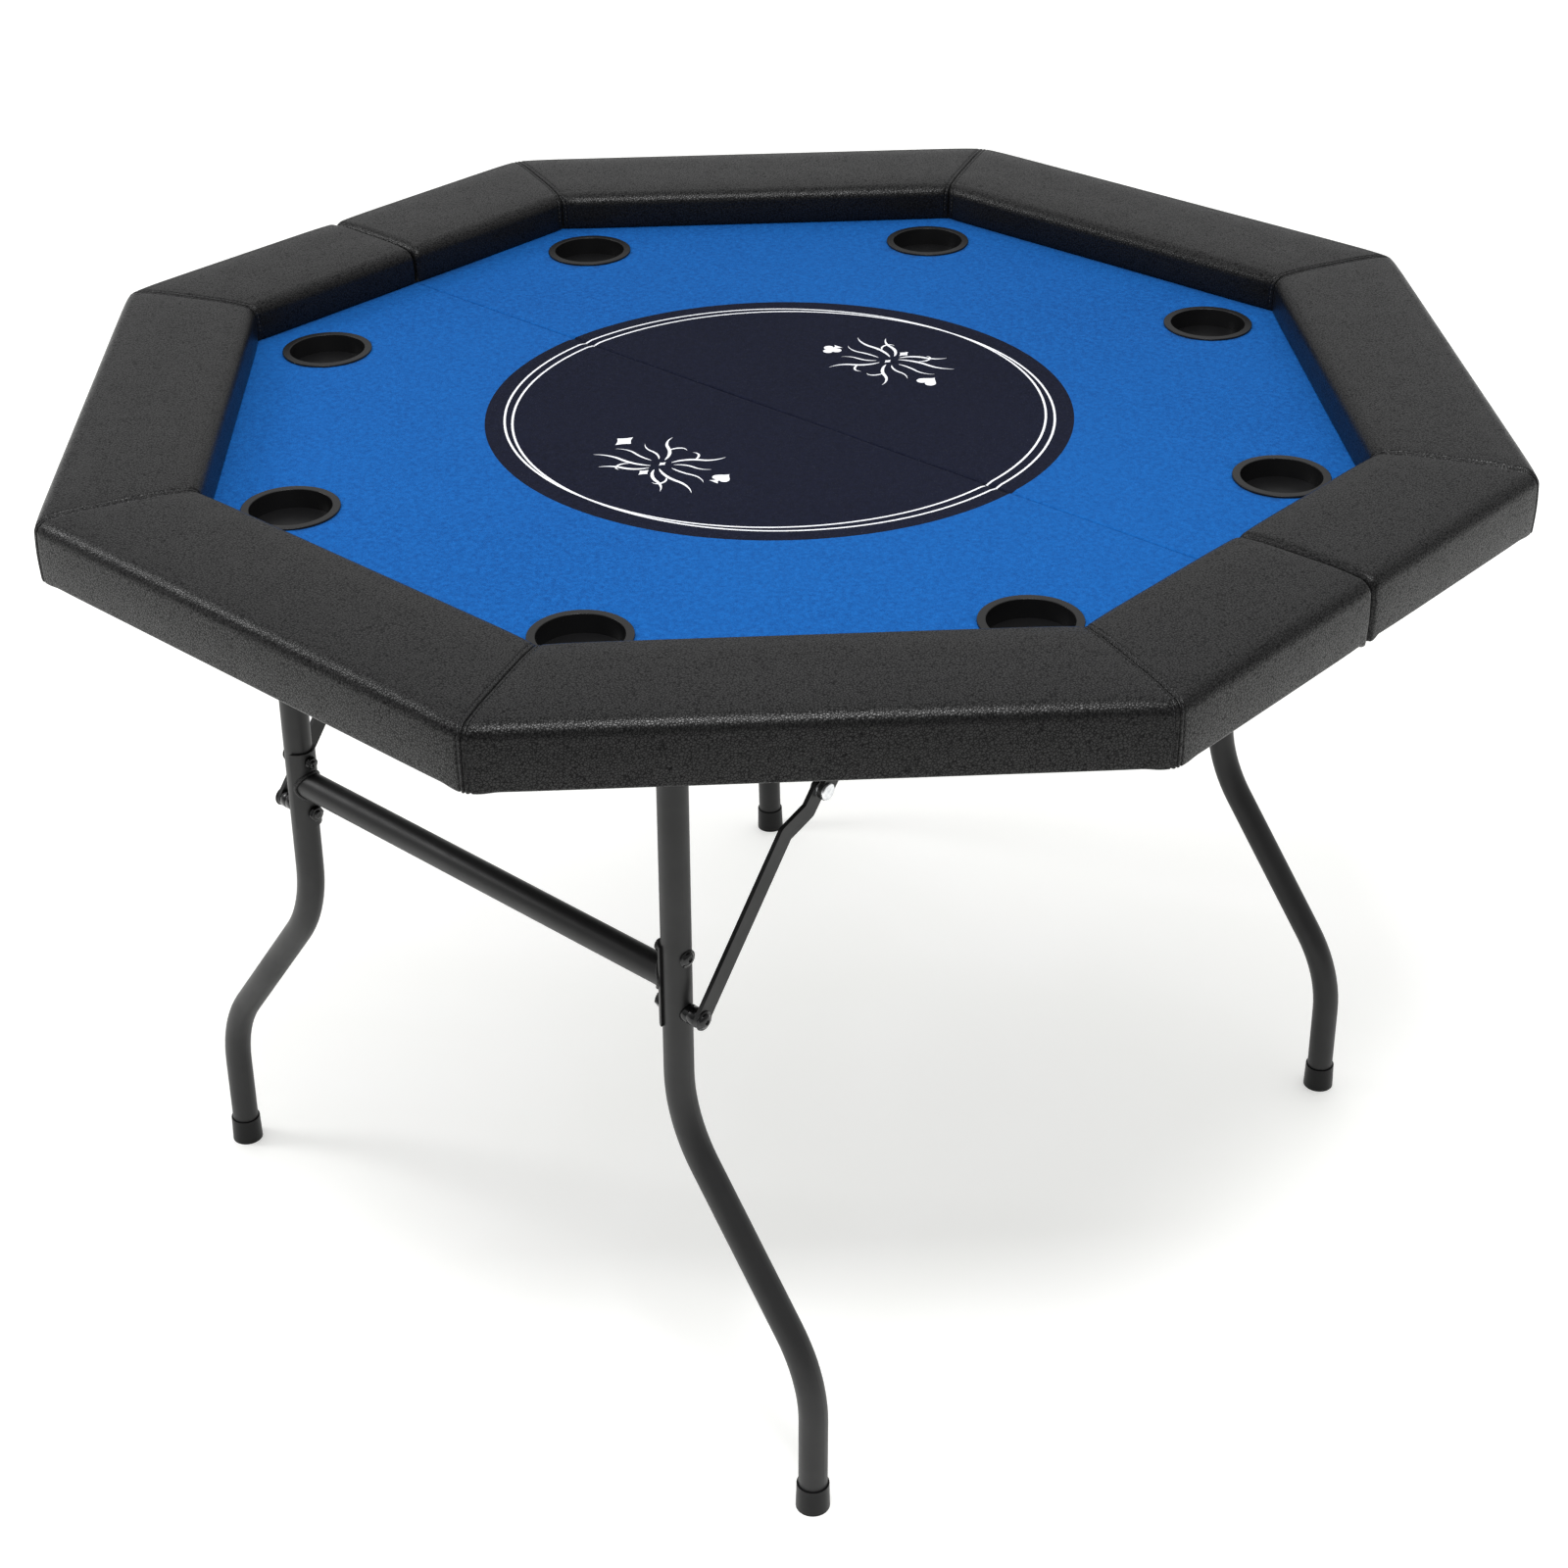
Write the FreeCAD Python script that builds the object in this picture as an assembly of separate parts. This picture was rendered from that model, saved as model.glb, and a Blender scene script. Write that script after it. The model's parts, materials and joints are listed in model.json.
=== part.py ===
import FreeCAD, Part
import math
import os

# Folding octagonal card table. Millimetres. The origin is on the floor under the middle
# of the top, +X runs along the fold line and +Z points up. The front half is at -Y. The
# rear half, with its leg frame and braces, is the front one turned half a turn about Z.

os.makedirs("parts", exist_ok=True)
V = FreeCAD.Vector
ORIGIN = V(0, 0, 0)
X_AXIS = V(1, 0, 0)
Z_AXIS = V(0, 0, 1)
RIGHT, LEFT = 1, -1

# Top: two half boards with felt, and a padded rail on a wooden core. An apothem is the
# distance from the middle to a flat side of an octagon.
SIDES = 8
SIDE_ANGLE = 360.0 / SIDES
TOP_APOTHEM = 610.0
RAIL_INNER_APOTHEM = 481.0
RAIL_TOP = 816.0
RAIL_OUTER_ROUND = 18.0
RAIL_INNER_ROUND = 14.0
CORE_INNER_APOTHEM = 491.0
CORE_OUTER_APOTHEM = 604.0
CORE_TOP = 800.0
BOARD_BOTTOM = 761.0
BOARD_TOP = 776.0
FELT_TOP = 780.0
FOLD_GAP = 1.0
CORE_END_SETBACK = 4.0
PRINTED_DISC = 261.0

# Cup holders: shallow trays dropped through the board.
CUP_CIRCLE = 449.0
CUP_INNER = 34.5
CUP_OUTER = 36.0
CUP_FLANGE = 41.5
CUP_FLANGE_THICKNESS = 2.0
CUP_DEPTH = 15.0
CUP_FLOOR = 1.5
CUP_EDGE_ROUND = 0.8
CUP_HOLE = 36.5

# Leg frame: two bent tubes on a pivot tube, tilted outward, with a crossbar.
TUBE_OUTER = 12.7
TUBE_INNER = 11.5
PIVOT_Y = -385.0
PIVOT_Z = 742.0
PIVOT_TUBE_HALF = 250.0
SPLAY = 0.93
UPRIGHT_X = 236.0
FOOT_X = 386.0
UPPER_BEND_Z = 342.0
LOWER_BEND_Z = 142.0
BEND_RADIUS = 140.0
FOOT_WALL = 4.0
FOOT_CAP_HEIGHT = 26.0
FOOT_CAP_TOP = 14.25
FOOT_CAP_BOTTOM = 15.0
CROSSBAR_Z = 480.0
SADDLE_THICKNESS = 2.5
SADDLE_BOTTOM, SADDLE_TOP = 437.0, 514.0
SADDLE_WRAP_X = 5.0

# Frame bolts: a short one above the crossbar and the longer brace bolt below it.
BOLT_Z = 505.0
BOLT_RADIUS = 3.0
BOLT_HEAD = 6.0
BOLT_HEAD_HEIGHT = 3.2
BOLT_NUT = 5.6
BOLT_NUT_HEIGHT = 4.5
BOLT_OVERHANG = 1.5
BRACE_BOLT_REACH = 290.0
BRACE_BOLT_RADIUS = 4.0
BRACE_BOLT_HEAD = 7.5
BRACE_BOLT_HEAD_HEIGHT = 2.6
BRACE_BOLT_NUT = 7.2
SPACER_RADIUS = 8.0

# Braces: a lower and an upper flat link, side by side outboard of each leg.
LINK_WIDTH = 16.0
LOWER_LINK_X = (261.0, 265.0)
UPPER_LINK_X = (268.0, 272.0)
SIDE_CLEARANCE = 0.1
PIN_CLEARANCE = 0.06
BRACKET_Y = -118.0
BRACKET_Z = 742.0
BRACKET_EAR_X = (272.2, 275.2)
BRACKET_EAR_WIDTH = 24.0
BRACKET_FOOT_X = 303.0
BRACKET_FOOT_HALF = 15.0
BRACKET_SCREW_Y = 9.0
PLATE_THICKNESS = 2.5
RIVET_RADIUS = 4.0
RIVET_HEAD = 7.5
RIVET_HEAD_HEIGHT = 2.4
RIVET_HEAD_ROUND = 1.6
RIVET_TAIL = 6.5
RIVET_TAIL_HEIGHT = 1.8
KNEE_WASHER = 7.0
KNEE_GAP = 0.4
# The jog near the knee: distance along the link and offset from its straight line.
JOG_START = (164.0, 13.0)
JOG_END = (190.0, -1.0)

# Pipe clamps that hold the pivot tubes under the board.
CLAMP_X = 110.0
CLAMP_WIDTH = 30.0
CLAMP_BORE = TUBE_OUTER + 0.08
CLAMP_WALL = 2.8
CLAMP_NECK_HALF = 9.0
CLAMP_PLATE_HALF_X = 18.0
CLAMP_PLATE_HALF_Y = 34.0
CLAMP_SCREW_Y = 25.0

# Hinges across the fold line, under the boards.
HINGE_XS = (-430.0, -150.0, 150.0, 430.0)
HINGE_HALF = 38.0
HINGE_MIDDLE_HALF = 13.0
HINGE_LEAF = 32.0
HINGE_THICKNESS = 2.0
KNUCKLE_RADIUS = 4.2
KNUCKLE_Z = 756.6
KNUCKLE_GAP = 0.2
PIN_RADIUS = 2.0
HINGE_SCREW_X, HINGE_SCREW_Y = 26.0, 21.0

# Screws.
SCREW_RADIUS = 1.9
SCREW_HEAD = 3.8
SCREW_HEAD_HEIGHT = 1.6
BOARD_SCREW_TIP = 772.0
CORE_SCREW_TIP = 790.0
CORE_SCREW_APOTHEM = 550.0
CORE_SCREW_SPREAD = 120.0


def box(x_range, y_range, z_range):
    size = [high - low for low, high in (x_range, y_range, z_range)]
    return Part.makeBox(*size, V(x_range[0], y_range[0], z_range[0]))


def rod_x(radius, x_from, x_to, y, z):
    direction = V(1 if x_to > x_from else -1, 0, 0)
    return Part.makeCylinder(radius, abs(x_to - x_from), V(x_from, y, z), direction)


def rod_z(radius, x, y, z_from, z_to):
    return Part.makeCylinder(radius, z_to - z_from, V(x, y, z_from), Z_AXIS)


def hexagon_x(radius, x_from, x_to, y, z):
    corners = [V(x_from, y + radius * math.cos(math.radians(60 * k)),
                 z + radius * math.sin(math.radians(60 * k))) for k in range(7)]
    return Part.Face(Part.makePolygon(corners)).extrude(V(x_to - x_from, 0, 0))


def fused(shapes):
    whole = shapes[0].multiFuse(shapes[1:]) if len(shapes) > 1 else shapes[0]
    return whole.removeSplitter()


def half_turn(shape):
    turned = shape.copy()
    turned.rotate(ORIGIN, Z_AXIS, 180)
    return turned


def save(name, shapes):
    solids = [solid for shape in shapes for solid in shape.Solids]
    whole = solids[0] if len(solids) == 1 else Part.makeCompound(solids)
    print(name, len(solids), "solid(s)", whole.isValid(), round(whole.Volume))
    whole.exportStep("parts/" + name + ".step")


def save_both_halves(name, shapes):
    save(name + "_front", shapes)
    save(name + "_rear", [half_turn(shape) for shape in shapes])


def front_half(shape, gap):
    reach = 2 * TOP_APOTHEM
    return shape.common(box((-reach, reach), (-reach, -gap), (0, reach)))


def octagon_prism(apothem, z_from, z_to):
    radius = apothem / math.cos(math.radians(SIDE_ANGLE / 2))
    angles = [math.radians(SIDE_ANGLE * (k + 0.5)) for k in range(SIDES)]
    corners = [V(radius * math.cos(a), radius * math.sin(a), z_from) for a in angles]
    face = Part.Face(Part.makePolygon(corners + corners[:1]))
    return face.extrude(V(0, 0, z_to - z_from))


def corner_arc(start, centre, end, radius):
    middle = (start + end) * 0.5 - centre
    return Part.Arc(start, centre + middle.normalize() * radius, end).toShape()


# ---------------------------------------------------------------- the top

def rail_ring():
    """Padded rail before it is hollowed: a rounded section run round the octagon."""
    inner, outer, bottom, top = RAIL_INNER_APOTHEM, TOP_APOTHEM, BOARD_BOTTOM, RAIL_TOP
    low_outer, high_outer = V(outer, 0, bottom), V(outer, 0, top - RAIL_OUTER_ROUND)
    top_outer, top_inner = V(outer - RAIL_OUTER_ROUND, 0, top), V(inner + RAIL_INNER_ROUND, 0, top)
    high_inner, low_inner = V(inner, 0, top - RAIL_INNER_ROUND), V(inner, 0, bottom)
    outer_centre = V(outer - RAIL_OUTER_ROUND, 0, top - RAIL_OUTER_ROUND)
    inner_centre = V(inner + RAIL_INNER_ROUND, 0, top - RAIL_INNER_ROUND)
    edges = [Part.makeLine(low_outer, high_outer),
             corner_arc(high_outer, outer_centre, top_outer, RAIL_OUTER_ROUND),
             Part.makeLine(top_outer, top_inner),
             corner_arc(top_inner, inner_centre, high_inner, RAIL_INNER_ROUND),
             Part.makeLine(high_inner, low_inner),
             Part.makeLine(low_inner, low_outer)]
    section = Part.Face(Part.Wire(edges))
    section.translate(V(0, -outer, 0))
    side = section.extrude(V(0, 2 * outer, 0))
    reach = 2 * outer
    spread = reach * math.tan(math.radians(SIDE_ANGLE / 2))
    mitre = Part.Face(Part.makePolygon([ORIGIN, V(reach, -spread, 0), V(reach, spread, 0), ORIGIN]))
    side = side.common(mitre.extrude(V(0, 0, reach)))
    sides = []
    for k in range(SIDES):
        turned = side.copy()
        turned.rotate(ORIGIN, Z_AXIS, k * SIDE_ANGLE)
        sides.append(turned)
    return fused(sides)


def cup_centres():
    """The four cup holders of the front half, from left to right."""
    angles = [180 + SIDE_ANGLE * (k + 0.5) for k in range(SIDES // 2)]
    return [(CUP_CIRCLE * math.cos(math.radians(a)), CUP_CIRCLE * math.sin(math.radians(a)))
            for a in angles]


def cup_holder(x, y):
    floor = FELT_TOP - CUP_DEPTH
    rim = FELT_TOP + CUP_FLANGE_THICKNESS
    shell = fused([rod_z(CUP_OUTER, x, y, floor - CUP_FLOOR, rim),
                   rod_z(CUP_FLANGE, x, y, FELT_TOP, rim)])
    shell = shell.cut(rod_z(CUP_INNER, x, y, floor, rim))
    rim_edges = [edge for edge in shell.Edges if abs(edge.BoundBox.ZMin - rim) < 1e-6]
    return shell.makeFillet(CUP_EDGE_ROUND, rim_edges)


def screw(x, y, seat, tip):
    return fused([rod_z(SCREW_HEAD, x, y, seat - SCREW_HEAD_HEIGHT, seat),
                  rod_z(SCREW_RADIUS, x, y, seat, tip)])


def core_screws():
    """Two screws into the rail core on each side of the front half octagon."""
    screws = []
    for k in range(SIDES // 2 + 1):
        angle = math.radians(180 + SIDE_ANGLE * k)
        for offset in (-CORE_SCREW_SPREAD, CORE_SCREW_SPREAD):
            x = CORE_SCREW_APOTHEM * math.cos(angle) - offset * math.sin(angle)
            y = CORE_SCREW_APOTHEM * math.sin(angle) + offset * math.cos(angle)
            if y < 0:
                screws.append(screw(x, y, BOARD_BOTTOM, CORE_SCREW_TIP))
    return screws


def clamp(side):
    """Pipe clamp: a base plate with a ring that the pivot tube turns in."""
    centre = side * CLAMP_X
    ring_from, ring_to = centre - CLAMP_WIDTH / 2, centre + CLAMP_WIDTH / 2
    plate_z = (BOARD_BOTTOM - PLATE_THICKNESS, BOARD_BOTTOM)
    ring = rod_x(CLAMP_BORE + CLAMP_WALL, ring_from, ring_to, PIVOT_Y, PIVOT_Z)
    neck = box((ring_from, ring_to), (PIVOT_Y - CLAMP_NECK_HALF, PIVOT_Y + CLAMP_NECK_HALF),
               (PIVOT_Z, BOARD_BOTTOM))
    plate = box((centre - CLAMP_PLATE_HALF_X, centre + CLAMP_PLATE_HALF_X),
                (PIVOT_Y - CLAMP_PLATE_HALF_Y, PIVOT_Y + CLAMP_PLATE_HALF_Y), plate_z)
    return fused([ring, neck, plate]).cut(rod_x(CLAMP_BORE, ring_from, ring_to, PIVOT_Y, PIVOT_Z))


def clamp_screws(side):
    seat = BOARD_BOTTOM - PLATE_THICKNESS
    return [screw(side * CLAMP_X, PIVOT_Y + offset, seat, BOARD_SCREW_TIP)
            for offset in (-CLAMP_SCREW_Y, CLAMP_SCREW_Y)]


def brace_bracket(side):
    """Bracket under the board: screwed foot, hanging ear and the rivet of the upper link."""
    near, far = (side * x for x in BRACKET_EAR_X)
    ear = bar([(BRACKET_Y, BRACKET_Z), (BRACKET_Y, BOARD_BOTTOM)], near, far, BRACKET_EAR_WIDTH)
    reach = 2 * BRACKET_EAR_WIDTH
    ear = ear.common(box(sorted((near, far)), (BRACKET_Y - reach, BRACKET_Y + reach),
                         (BRACKET_Z - reach, BOARD_BOTTOM)))
    foot = box(sorted((near, side * BRACKET_FOOT_X)),
               (BRACKET_Y - BRACKET_FOOT_HALF, BRACKET_Y + BRACKET_FOOT_HALF),
               (BOARD_BOTTOM - PLATE_THICKNESS, BOARD_BOTTOM))
    inner_face = side * (UPPER_LINK_X[0] - SIDE_CLEARANCE)
    shank = rod_x(RIVET_RADIUS, inner_face, far, BRACKET_Y, BRACKET_Z)
    head = rod_x(RIVET_HEAD, inner_face, inner_face - side * RIVET_TAIL_HEIGHT,
                 BRACKET_Y, BRACKET_Z)
    tail = rod_x(RIVET_TAIL, far, far + side * RIVET_HEAD_HEIGHT, BRACKET_Y, BRACKET_Z)
    return fused([ear, foot, shank, head, tail])


def bracket_screws(side):
    seat = BOARD_BOTTOM - PLATE_THICKNESS
    x = side * (BRACKET_EAR_X[1] + BRACKET_FOOT_X) / 2
    return [screw(x, BRACKET_Y + offset, seat, BOARD_SCREW_TIP)
            for offset in (-BRACKET_SCREW_Y, BRACKET_SCREW_Y)]


def hinge_leaf(centre, toward_rear):
    """One leaf. The front leaf has the two outer knuckles and the rear leaf the middle one."""
    sign = 1 if toward_rear else -1
    plate_edge = KNUCKLE_RADIUS + KNUCKLE_GAP
    plate_z = (BOARD_BOTTOM - HINGE_THICKNESS, BOARD_BOTTOM)
    shapes = [box((centre - HINGE_HALF, centre + HINGE_HALF),
                  sorted((sign * plate_edge, sign * HINGE_LEAF)), plate_z)]
    outer_from = HINGE_MIDDLE_HALF + KNUCKLE_GAP
    spans = [(-HINGE_HALF, -outer_from), (outer_from, HINGE_HALF)]
    if toward_rear:
        spans = [(-HINGE_MIDDLE_HALF, HINGE_MIDDLE_HALF)]
    tab_z = (plate_z[0], KNUCKLE_Z + KNUCKLE_RADIUS - KNUCKLE_GAP)
    for low, high in spans:
        shapes.append(rod_x(KNUCKLE_RADIUS, centre + low, centre + high, 0, KNUCKLE_Z))
        shapes.append(box((centre + low, centre + high),
                          sorted((sign * PIN_RADIUS, sign * plate_edge)), tab_z))
    bore = rod_x(PIN_RADIUS + PIN_CLEARANCE, centre - HINGE_HALF, centre + HINGE_HALF, 0, KNUCKLE_Z)
    return fused(shapes).cut(bore)


def hinge_screws(sign):
    seat = BOARD_BOTTOM - HINGE_THICKNESS
    return [screw(centre + offset, sign * HINGE_SCREW_Y, seat, BOARD_SCREW_TIP)
            for centre in HINGE_XS for offset in (-HINGE_SCREW_X, HINGE_SCREW_X)]


# ---------------------------------------------------------------- the leg frame

def rounded_path(points, radius):
    """A wire of straight runs joined by tangent arcs."""
    edges = []
    start = points[0]
    for before, corner, after in zip(points, points[1:], points[2:]):
        way_in = (corner - before).normalize()
        way_out = (after - corner).normalize()
        half = way_in.getAngle(way_out) / 2
        trim = radius * math.tan(half)
        arc_start, arc_end = corner - way_in * trim, corner + way_out * trim
        inward = (way_out - way_in).normalize()
        arc_middle = corner + inward * (radius / math.cos(half) - radius)
        edges.append(Part.makeLine(start, arc_start))
        edges.append(Part.Arc(arc_start, arc_middle, arc_end).toShape())
        start = arc_end
    edges.append(Part.makeLine(start, points[-1]))
    return Part.Wire(edges)


def leg_bar(side, radius):
    """A solid bar along the leg's bent centre line, in the frame's own upright plane."""
    points = [V(side * UPRIGHT_X, PIVOT_Y, PIVOT_Z), V(side * UPRIGHT_X, PIVOT_Y, UPPER_BEND_Z),
              V(side * FOOT_X, PIVOT_Y, LOWER_BEND_Z), V(side * FOOT_X, PIVOT_Y, FOOT_WALL)]
    section = Part.Face(Part.Wire(Part.makeCircle(radius, points[0], Z_AXIS)))
    return rounded_path(points, BEND_RADIUS).makePipe(section)


def tube_x(half_length, y, z):
    outer = rod_x(TUBE_OUTER, -half_length, half_length, y, z)
    return outer.cut(rod_x(TUBE_INNER, -half_length, half_length, y, z))


def leg_bolts(side):
    """The short bolt with its nut, and the brace bolt with its nut and spacer."""
    inner_face = side * (UPRIGHT_X - TUBE_OUTER - SADDLE_THICKNESS)
    outer_face = side * (UPRIGHT_X + TUBE_OUTER)
    tip = inner_face - side * (BOLT_NUT_HEIGHT + BOLT_OVERHANG)
    bolt = fused([rod_x(BOLT_RADIUS, tip, outer_face, PIVOT_Y, BOLT_Z),
                  rod_x(BOLT_HEAD, outer_face, outer_face + side * BOLT_HEAD_HEIGHT, PIVOT_Y, BOLT_Z),
                  hexagon_x(BOLT_NUT, inner_face - side * BOLT_NUT_HEIGHT, inner_face,
                            PIVOT_Y, BOLT_Z)])
    z = PIVOT_Z - BRACE_BOLT_REACH
    head_from = side * (LOWER_LINK_X[1] + SIDE_CLEARANCE)
    spacer = rod_x(SPACER_RADIUS, side * UPRIGHT_X, side * (LOWER_LINK_X[0] - SIDE_CLEARANCE),
                   PIVOT_Y, z).cut(leg_bar(side, TUBE_OUTER))
    brace_bolt = fused([spacer,
                        rod_x(BRACE_BOLT_RADIUS, tip, head_from, PIVOT_Y, z),
                        rod_x(BRACE_BOLT_HEAD, head_from, head_from + side * BRACE_BOLT_HEAD_HEIGHT,
                              PIVOT_Y, z),
                        hexagon_x(BRACE_BOLT_NUT, inner_face - side * BOLT_NUT_HEIGHT, inner_face,
                                  PIVOT_Y, z)])
    return [bolt, brace_bolt]


def saddle_plate(side):
    """Curved plate on the inboard face of the upright, where the crossbar is welded."""
    x = side * UPRIGHT_X
    shell = rod_z(TUBE_OUTER + SADDLE_THICKNESS, x, PIVOT_Y, SADDLE_BOTTOM, SADDLE_TOP)
    shell = shell.cut(rod_z(TUBE_OUTER, x, PIVOT_Y, SADDLE_BOTTOM, SADDLE_TOP))
    reach = 2 * TUBE_OUTER
    keep = box(sorted((x - side * SADDLE_WRAP_X, x - side * reach)),
               (PIVOT_Y - reach, PIVOT_Y + reach), (SADDLE_BOTTOM, SADDLE_TOP))
    return shell.common(keep)


def foot_cap(side):
    """Tapered plastic cap, cut level with the floor after the frame is tilted."""
    overrun = 2.0
    cap = Part.makeCone(FOOT_CAP_BOTTOM, FOOT_CAP_TOP, FOOT_CAP_HEIGHT + overrun,
                        V(side * FOOT_X, PIVOT_Y, -overrun), Z_AXIS)
    return cap.cut(rod_z(TUBE_OUTER, side * FOOT_X, PIVOT_Y, FOOT_WALL, FOOT_CAP_HEIGHT))


def tilted(shape):
    """Turns a shape of the upright frame outward about the pivot tube."""
    turned = shape.copy()
    turned.rotate(V(0, PIVOT_Y, PIVOT_Z), X_AXIS, -SPLAY)
    reach = 2 * TOP_APOTHEM
    return turned.common(box((-reach, reach), (-reach, reach), (0, reach)))


# ---------------------------------------------------------------- the braces

def bar(points, x_from, x_to, width):
    """Flat bar with round ends along (y, z) points, between two x planes."""
    half = width / 2
    shapes = [rod_x(half, x_from, x_to, y, z) for y, z in points]
    for (y0, z0), (y1, z1) in zip(points, points[1:]):
        length = math.hypot(y1 - y0, z1 - z0)
        ny, nz = -(z1 - z0) / length * half, (y1 - y0) / length * half
        corners = [V(x_from, y0 + ny, z0 + nz), V(x_from, y1 + ny, z1 + nz),
                   V(x_from, y1 - ny, z1 - nz), V(x_from, y0 - ny, z0 - nz)]
        face = Part.Face(Part.makePolygon(corners + corners[:1]))
        shapes.append(face.extrude(V(x_to - x_from, 0, 0)))
    return fused(shapes)


def brace_points():
    """Leg pivot, knee and bracket pivot of an open brace, as (y, z). The open links lie in
    one line, and the folded ones lie over each other when the leg frame is level."""
    splay = math.radians(SPLAY)
    leg_pivot = (PIVOT_Y - BRACE_BOLT_REACH * math.sin(splay),
                 PIVOT_Z - BRACE_BOLT_REACH * math.cos(splay))
    bracket = (BRACKET_Y, BRACKET_Z)
    span = math.dist(leg_pivot, bracket)
    folded_offset = (PIVOT_Y + BRACE_BOLT_REACH) - BRACKET_Y
    lower_share = (span + folded_offset) / 2 / span
    knee = tuple(a + (b - a) * lower_share for a, b in zip(leg_pivot, bracket))
    return leg_pivot, knee, bracket


def lower_link(side):
    leg_pivot, knee, _ = brace_points()
    x_from, x_to = (side * x for x in LOWER_LINK_X)
    length = math.dist(leg_pivot, knee)
    along = ((knee[0] - leg_pivot[0]) / length, (knee[1] - leg_pivot[1]) / length)
    jog = [(leg_pivot[0] + a * along[0] - o * along[1], leg_pivot[1] + a * along[1] + o * along[0])
           for a, o in (JOG_START, JOG_END)]
    link = bar([leg_pivot] + jog + [knee], x_from, x_to, LINK_WIDTH)
    link = link.cut(rod_x(BRACE_BOLT_RADIUS + PIN_CLEARANCE, x_from, x_to, *leg_pivot))
    return link.cut(rod_x(RIVET_RADIUS, x_from, x_to, *knee))


def rivet_tail(side):
    """Formed tail of the knee rivet in the lower link."""
    _, knee, _ = brace_points()
    x_from, x_to = (side * x for x in LOWER_LINK_X)
    return fused([rod_x(RIVET_RADIUS, x_from, x_to, *knee),
                  rod_x(RIVET_TAIL, x_from - side * RIVET_TAIL_HEIGHT, x_from, *knee)])


def upper_link(side):
    _, knee, bracket = brace_points()
    x_from, x_to = (side * x for x in UPPER_LINK_X)
    link = bar([knee, bracket], x_from, x_to, LINK_WIDTH)
    link = link.cut(rod_x(RIVET_RADIUS + PIN_CLEARANCE, x_from, x_to, *bracket))
    return link.cut(rod_x(RIVET_RADIUS, x_from, x_to, *knee))


def knee_rivet(side):
    """Knee rivet with its head outboard of the upper link and a washer between the links."""
    _, knee, _ = brace_points()
    x_from, x_to = (side * x for x in UPPER_LINK_X)
    washer_from = side * (LOWER_LINK_X[1] + KNEE_GAP)
    head = rod_x(RIVET_HEAD, x_to, x_to + side * RIVET_HEAD_HEIGHT, *knee)
    outer_edge = [edge for edge in head.Edges
                  if edge.Length > 1 and abs(edge.BoundBox.XMin - x_to - side * RIVET_HEAD_HEIGHT) < 1e-6
                  and abs(edge.BoundBox.XMax - edge.BoundBox.XMin) < 1e-6]
    head = head.makeFillet(RIVET_HEAD_ROUND, outer_edge)
    return fused([rod_x(RIVET_RADIUS, x_from, x_to, *knee), head,
                  rod_x(KNEE_WASHER, washer_from, x_from, *knee)])


# ---------------------------------------------------------------- build and save

def build_top():
    board = front_half(octagon_prism(CORE_OUTER_APOTHEM, BOARD_BOTTOM, BOARD_TOP), FOLD_GAP)
    felt = front_half(octagon_prism(CORE_INNER_APOTHEM, BOARD_TOP, FELT_TOP), FOLD_GAP)
    core = octagon_prism(CORE_OUTER_APOTHEM, BOARD_TOP, CORE_TOP)
    core = core.cut(octagon_prism(CORE_INNER_APOTHEM, BOARD_TOP, CORE_TOP))
    core = front_half(core, CORE_END_SETBACK)
    pad = front_half(rail_ring(), FOLD_GAP).cut(board).cut(felt).cut(core)

    cups = cup_centres()
    holes = [rod_z(CUP_HOLE, x, y, BOARD_BOTTOM, FELT_TOP) for x, y in cups]
    front_screws = core_screws() + clamp_screws(LEFT) + clamp_screws(RIGHT)
    front_screws += bracket_screws(LEFT) + bracket_screws(RIGHT) + hinge_screws(-1)
    save_both_halves("tabletop_board", [board.cut(holes + front_screws)])
    # The printed disc keeps its own face on the felt.
    felt, disc = felt.cut(holes), front_half(rod_z(PRINTED_DISC, 0, 0, BOARD_TOP, FELT_TOP), FOLD_GAP)
    save_both_halves("felt", [felt.cut(disc).fuse(disc)])
    save_both_halves("rail_core", [core.cut(front_screws)])
    save_both_halves("rail_pad", [pad])
    for number, (x, y) in enumerate(cups, 1):
        cup = cup_holder(x, y)
        save("cup_holder_%d" % number, [cup])
        save("cup_holder_%d" % (number + len(cups)), [half_turn(cup)])

    for side, here, opposite in ((LEFT, "left", "right"), (RIGHT, "right", "left")):
        plate = clamp(side).cut(clamp_screws(side))
        save("leg_clamp_front_" + here, [plate])
        save("leg_clamp_rear_" + opposite, [half_turn(plate)])
        bracket = brace_bracket(side).cut(bracket_screws(side))
        save("brace_bracket_front_" + here, [bracket])
        save("brace_bracket_rear_" + opposite, [half_turn(bracket)])
    save("underside_screws", front_screws + [half_turn(one) for one in front_screws])

    front_leaves = [hinge_leaf(x, False).cut(hinge_screws(-1)) for x in HINGE_XS]
    rear_leaves = [hinge_leaf(x, True).cut(hinge_screws(1)) for x in HINGE_XS]
    save("hinge_leaves_front", front_leaves)
    save("hinge_leaves_rear", rear_leaves)
    save("hinge_pins", [rod_x(PIN_RADIUS, x - HINGE_HALF, x + HINGE_HALF, 0, KNUCKLE_Z)
                        for x in HINGE_XS])


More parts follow.
